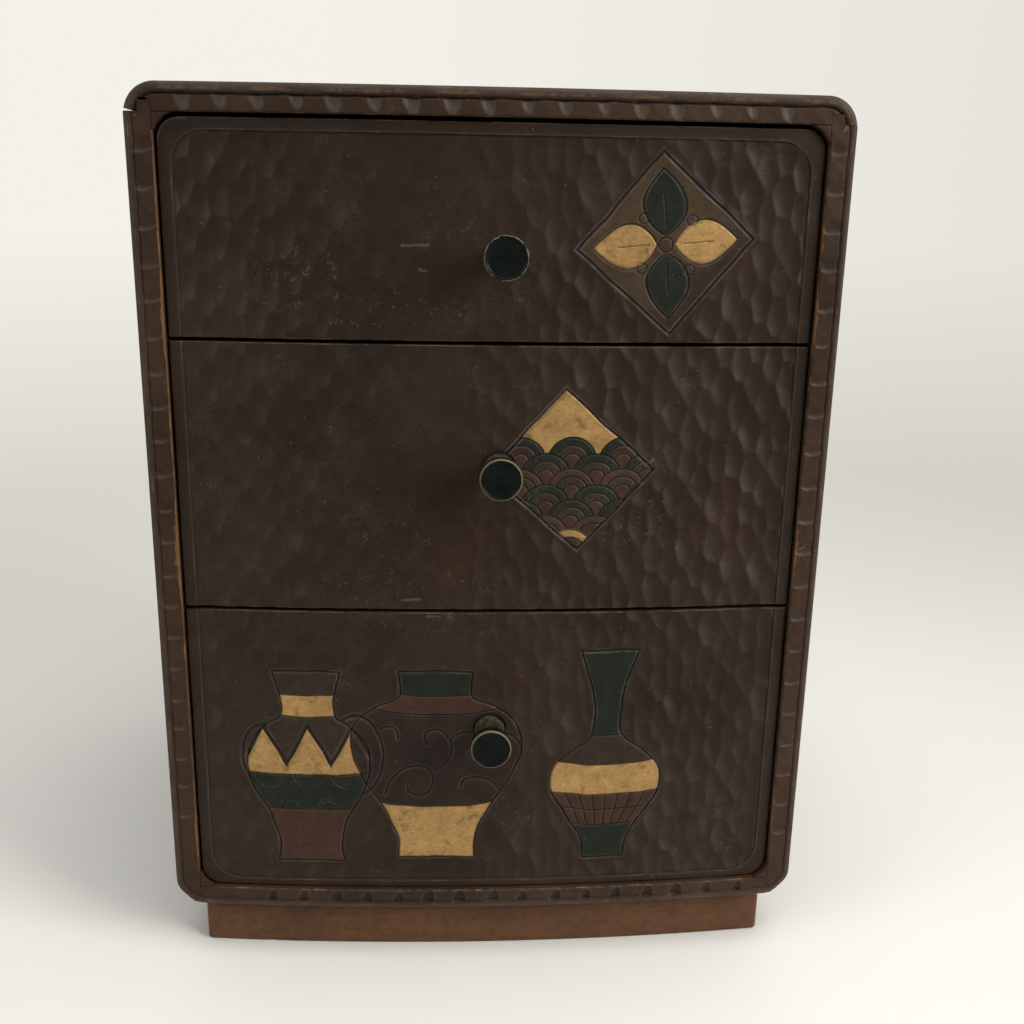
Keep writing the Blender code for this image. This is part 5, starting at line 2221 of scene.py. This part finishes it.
        mark_points(knob, Mask.RUBBED, 1 - ease(reach, 0.0128, 0.0150))
        smooth(knob, 50)
        self.shop.hand_over(knob, self.body, KNOB_FINISH, node)


@dataclass
class Carcass:
    """What the cabinet has besides its frame: corner blocks, back, pegs, plinth and runners.

    Attributes:
        fine: how wide the edges of the small pieces are eased.
        worn: how wide those of the plinth's front are.
        chip: the ends of the chip in the plinth's lower edge.
    """

    shop: Workshop
    fine: float = 0.0001
    worn: float = 0.0009
    chip: Point = (-0.0937, -0.0907)
    chip_height: float = 0.0010

    def build(self) -> None:
        """Finish every piece."""
        ease_edges = self.shop.ease_edges
        for level in ("upper", "lower"):
            for side in ("left", "right"):
                ease_edges(f"{level}_{side}_corner_block", "cabinet", FRAME_LACQUER, self.fine)
        ease_edges("back_panel", "cabinet", BACK_STAIN)
        for side in ("left", "right"):
            for height in ("low", "middle", "high"):
                ease_edges(f"{side}_{height}_peg", "cabinet", BAMBOO, self.fine)
            ease_edges(f"plinth_{side}", "cabinet", SIDE_PLINTH_STAIN)
            for drawer in ("top", "middle", "bottom"):
                ease_edges(f"{drawer}_{side}_runner", "cabinet", PLAIN_WOOD_ALONG)
        front = ease_edges("plinth_front", "cabinet", PLINTH_STAIN, self.worn)
        x, y, _ = points_of(front).T
        face = y[np.abs(x + 0.092) < 0.012].min()
        left, right = self.chip
        cut_block(front, (left, face - 0.002, -0.001), (right, face + 0.0016, self.chip_height))
        ease_edges("plinth_back", "cabinet", PLINTH_STAIN)


@dataclass
class Studio:
    """The floor, the lights and the camera.

    Attributes:
        yaw: how far the camera is turned to the right, in degrees.
        pitch: how far it looks down.
        roll: how far it leans.
        focal_pixels: its focal length in pixels of the picture.
        lamps: each lamp's name, place, size, power and colour.
    """

    camera_place: Triple = (-0.01699, -0.53094, 0.31520)
    yaw: float = 3.32
    pitch: float = 15.71
    roll: float = -1.01
    focal_pixels: float = 1150.0
    picture: int = 1024
    sensor: float = 36.0
    floor: Colour = (0.700, 0.685, 0.646)
    lamps: tuple[tuple[str, Triple, float, float, Colour], ...] = (
        ("window", (1.45, -1.00, 0.95), 0.9, 35.0, (1.0, 0.985, 0.95)),
        ("ceiling", (0.2, -0.5, 1.9), 1.4, 18.0, (1.0, 1.0, 0.99)),
        ("fill", (-1.4, -1.0, 0.95), 0.8, 9.0, (0.98, 0.98, 1.0)),
    )

    def build(self) -> None:
        """Set up the floor, the lights and the camera."""
        self.build_floor()
        self.build_world()
        self.build_lights()
        self.build_camera()

    def build_floor(self) -> None:
        """A pale round floor whose edge fades into the surroundings."""
        bpy.ops.object.select_all(action="DESELECT")
        bpy.ops.mesh.primitive_circle_add(vertices=64, radius=6, fill_type="NGON", location=(0, 0, -0.0002))
        floor = bpy.context.object
        floor.name = "floor"
        apply_place(floor)
        made = bpy.data.materials.new("pale floor")
        made.use_nodes = True
        nodes = Nodes(made.node_tree)
        away = nodes.add("VectorMath", {0: nodes.place}, operation="LENGTH").outputs["Value"]
        nodes.feed(made.node_tree.nodes["Principled BSDF"], {
            "Base Color": (*self.floor, 1.0),
            "Roughness": 0.6,
            "Specular IOR Level": 0.25,
            "Alpha": nodes.span(away, 0.22, 0.95, 1.0, 0.0),
        })
        floor.data.materials.append(made)

    def build_world(self) -> None:
        """Soft light from all round, brighter from the right, and a backdrop with painted shade, darker low
        down and towards the right.
        """
        world = bpy.data.worlds.new("studio")
        bpy.context.scene.world = world
        world.use_nodes = True
        world.node_tree.nodes.clear()
        nodes = Nodes(world.node_tree)
        way = nodes.add("SeparateXYZ", {0: nodes.add("TexCoord").outputs["Generated"]}).outputs
        light = nodes.blend(nodes.span(way["X"], -0.9, 0.9), (0.60, 0.59, 0.57), (1.00, 0.99, 0.95))
        light = nodes.lay(light, (0.80, 0.80, 0.79), nodes.span(way["Z"], -0.1, 0.8), 0.7)
        light = nodes.blend(nodes.span(way["Y"], -0.85, -0.15), (0.09, 0.088, 0.085), light)
        # the backdrop is painted darker low down and towards the right, a painted shade
        wall = nodes.blend(nodes.span(way["Z"], -0.32, -0.04), (0.590, 0.580, 0.510), (0.895, 0.880, 0.805))
        wall = nodes.blend(nodes.span(way["X"], -0.1, 0.55, 0.0, 0.32), wall, (0.50, 0.49, 0.44))
        soft = nodes.add("Background", {"Color": light, "Strength": 0.8}).outputs[0]
        plain = nodes.add("Background", {"Color": wall, "Strength": 1.0}).outputs[0]
        path = nodes.add("LightPath").outputs
        seen = nodes.math("ADD", path["Is Camera Ray"], path["Is Transmission Ray"])
        seen = nodes.math("ADD", seen, path["Is Glossy Ray"])
        mixed = nodes.add("MixShader", {0: seen, 1: soft, 2: plain})
        nodes.add("OutputWorld", {"Surface": mixed.outputs[0]})

    def build_lights(self) -> None:
        """A large soft light at the right, and weaker ones above and at the left."""
        for name, place, size, power, tint in self.lamps:
            data = bpy.data.lights.new(name, "AREA")
            data.energy, data.size, data.color = power, size, tint
            lamp = bpy.data.objects.new(name, data)
            bpy.context.collection.objects.link(lamp)
            lamp.location = place
            aim = Vector((0, 0, 0.17)) - Vector(place)
            lamp.rotation_euler = aim.to_track_quat("-Z", "Y").to_euler()

    def build_camera(self) -> None:
        """Place the camera as the photograph's stood."""
        yaw, pitch, roll = (math.radians(angle) for angle in (self.yaw, self.pitch, self.roll))
        data = bpy.data.cameras.new("camera")
        data.sensor_width = self.sensor
        data.lens = self.focal_pixels / self.picture * self.sensor
        data.clip_start = 0.01
        camera = bpy.data.objects.new("camera", data)
        bpy.context.collection.objects.link(camera)
        camera.matrix_world = (
            Matrix.Translation(self.camera_place) @ Matrix.Rotation(-yaw, 4, "Z")
            @ Matrix.Rotation(math.pi / 2 - pitch, 4, "X") @ Matrix.Rotation(-roll, 4, "Z")
        )
        bpy.context.scene.camera = camera
        bpy.context.scene.view_settings.view_transform = "Standard"


def main() -> None:
    """Build the box's looks, and the studio round it."""
    logging.basicConfig(level=logging.INFO, format="%(name)s: %(message)s")
    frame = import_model()
    bpy.ops.object.select_all(action="DESELECT")
    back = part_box("back_panel")[1].y
    shop = Workshop(frame, Bow(half_width=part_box("right_side")[1].x, corner_y=back - FRAME_DEPTH))
    Effects().build()
    FrameBoards(shop).build()
    Carcass(shop).build()
    for drawer in (
        Drawer(
            shop, "bottom", figures=(JAR, URN, BOTTLE),
            plates=(
                Plate("carved_jar", -0.1060, -0.0555, 0.0420, 0.1400),
                Plate("carved_urn", -0.0555, 0.0200, 0.0420, 0.1400, 0.00028),
                Plate("carved_bottle", 0.0200, 0.0760, 0.0420, 0.1400),
            ),
            knob=(0.0, 0.1051), rounded=(False, True), gouging=(0.00034, 0.00026, 0.00046),
            scuffs=(
                (-0.020, 0.150, 0.040, 0.008), (0.010, 0.066, 0.014, 0.012), (0.100, 0.060, 0.012, 0.020),
            ),
            scratches=(((-0.0250, 0.1530), (-0.0205, 0.1532)),),
            painted_light=(0.16, 0.38), pitch=0.00076,
        ),
        Drawer(
            shop, "middle", figures=(WAVES,), plates=(Plate("carved_waves", -0.005, 0.0650, 0.1775, 0.2465),),
            knob=(0.0024, 0.2130), rounded=(False, False), gouging=(0.00062, 0.00036, 0.00058),
            scuffs=(
                (-0.036, 0.188, 0.022, 0.016), (-0.030, 0.166, 0.050, 0.012), (0.055, 0.195, 0.030, 0.020),
            ),
            scratches=(((-0.0345, 0.1600), (-0.0280, 0.1603)), ((0.0600, 0.2150), (0.0612, 0.2165))),
            painted_light=(0.26, 0.60), pitch=0.00060,
        ),
        Drawer(
            shop, "top", figures=(FLOWER,), plates=(Plate("carved_flower", 0.0265, 0.0980, 0.2625, 0.3305),),
            knob=(0.0031, 0.2920), rounded=(True, False), gouging=(0.00060, 0.00030, 0.00058),
            scuffs=(
                (-0.040, 0.272, 0.045, 0.011), (-0.012, 0.303, 0.018, 0.012), (-0.075, 0.283, 0.030, 0.016),
            ),
            scratches=(((-0.0335, 0.2949), (-0.0235, 0.2952)), ((-0.0280, 0.2868), (-0.0250, 0.2858))),
            painted_light=(0.46, 0.60), pitch=0.00062,
        ),
    ):
        drawer.build()
    Studio().build()


if __name__ == "__main__":
    main()
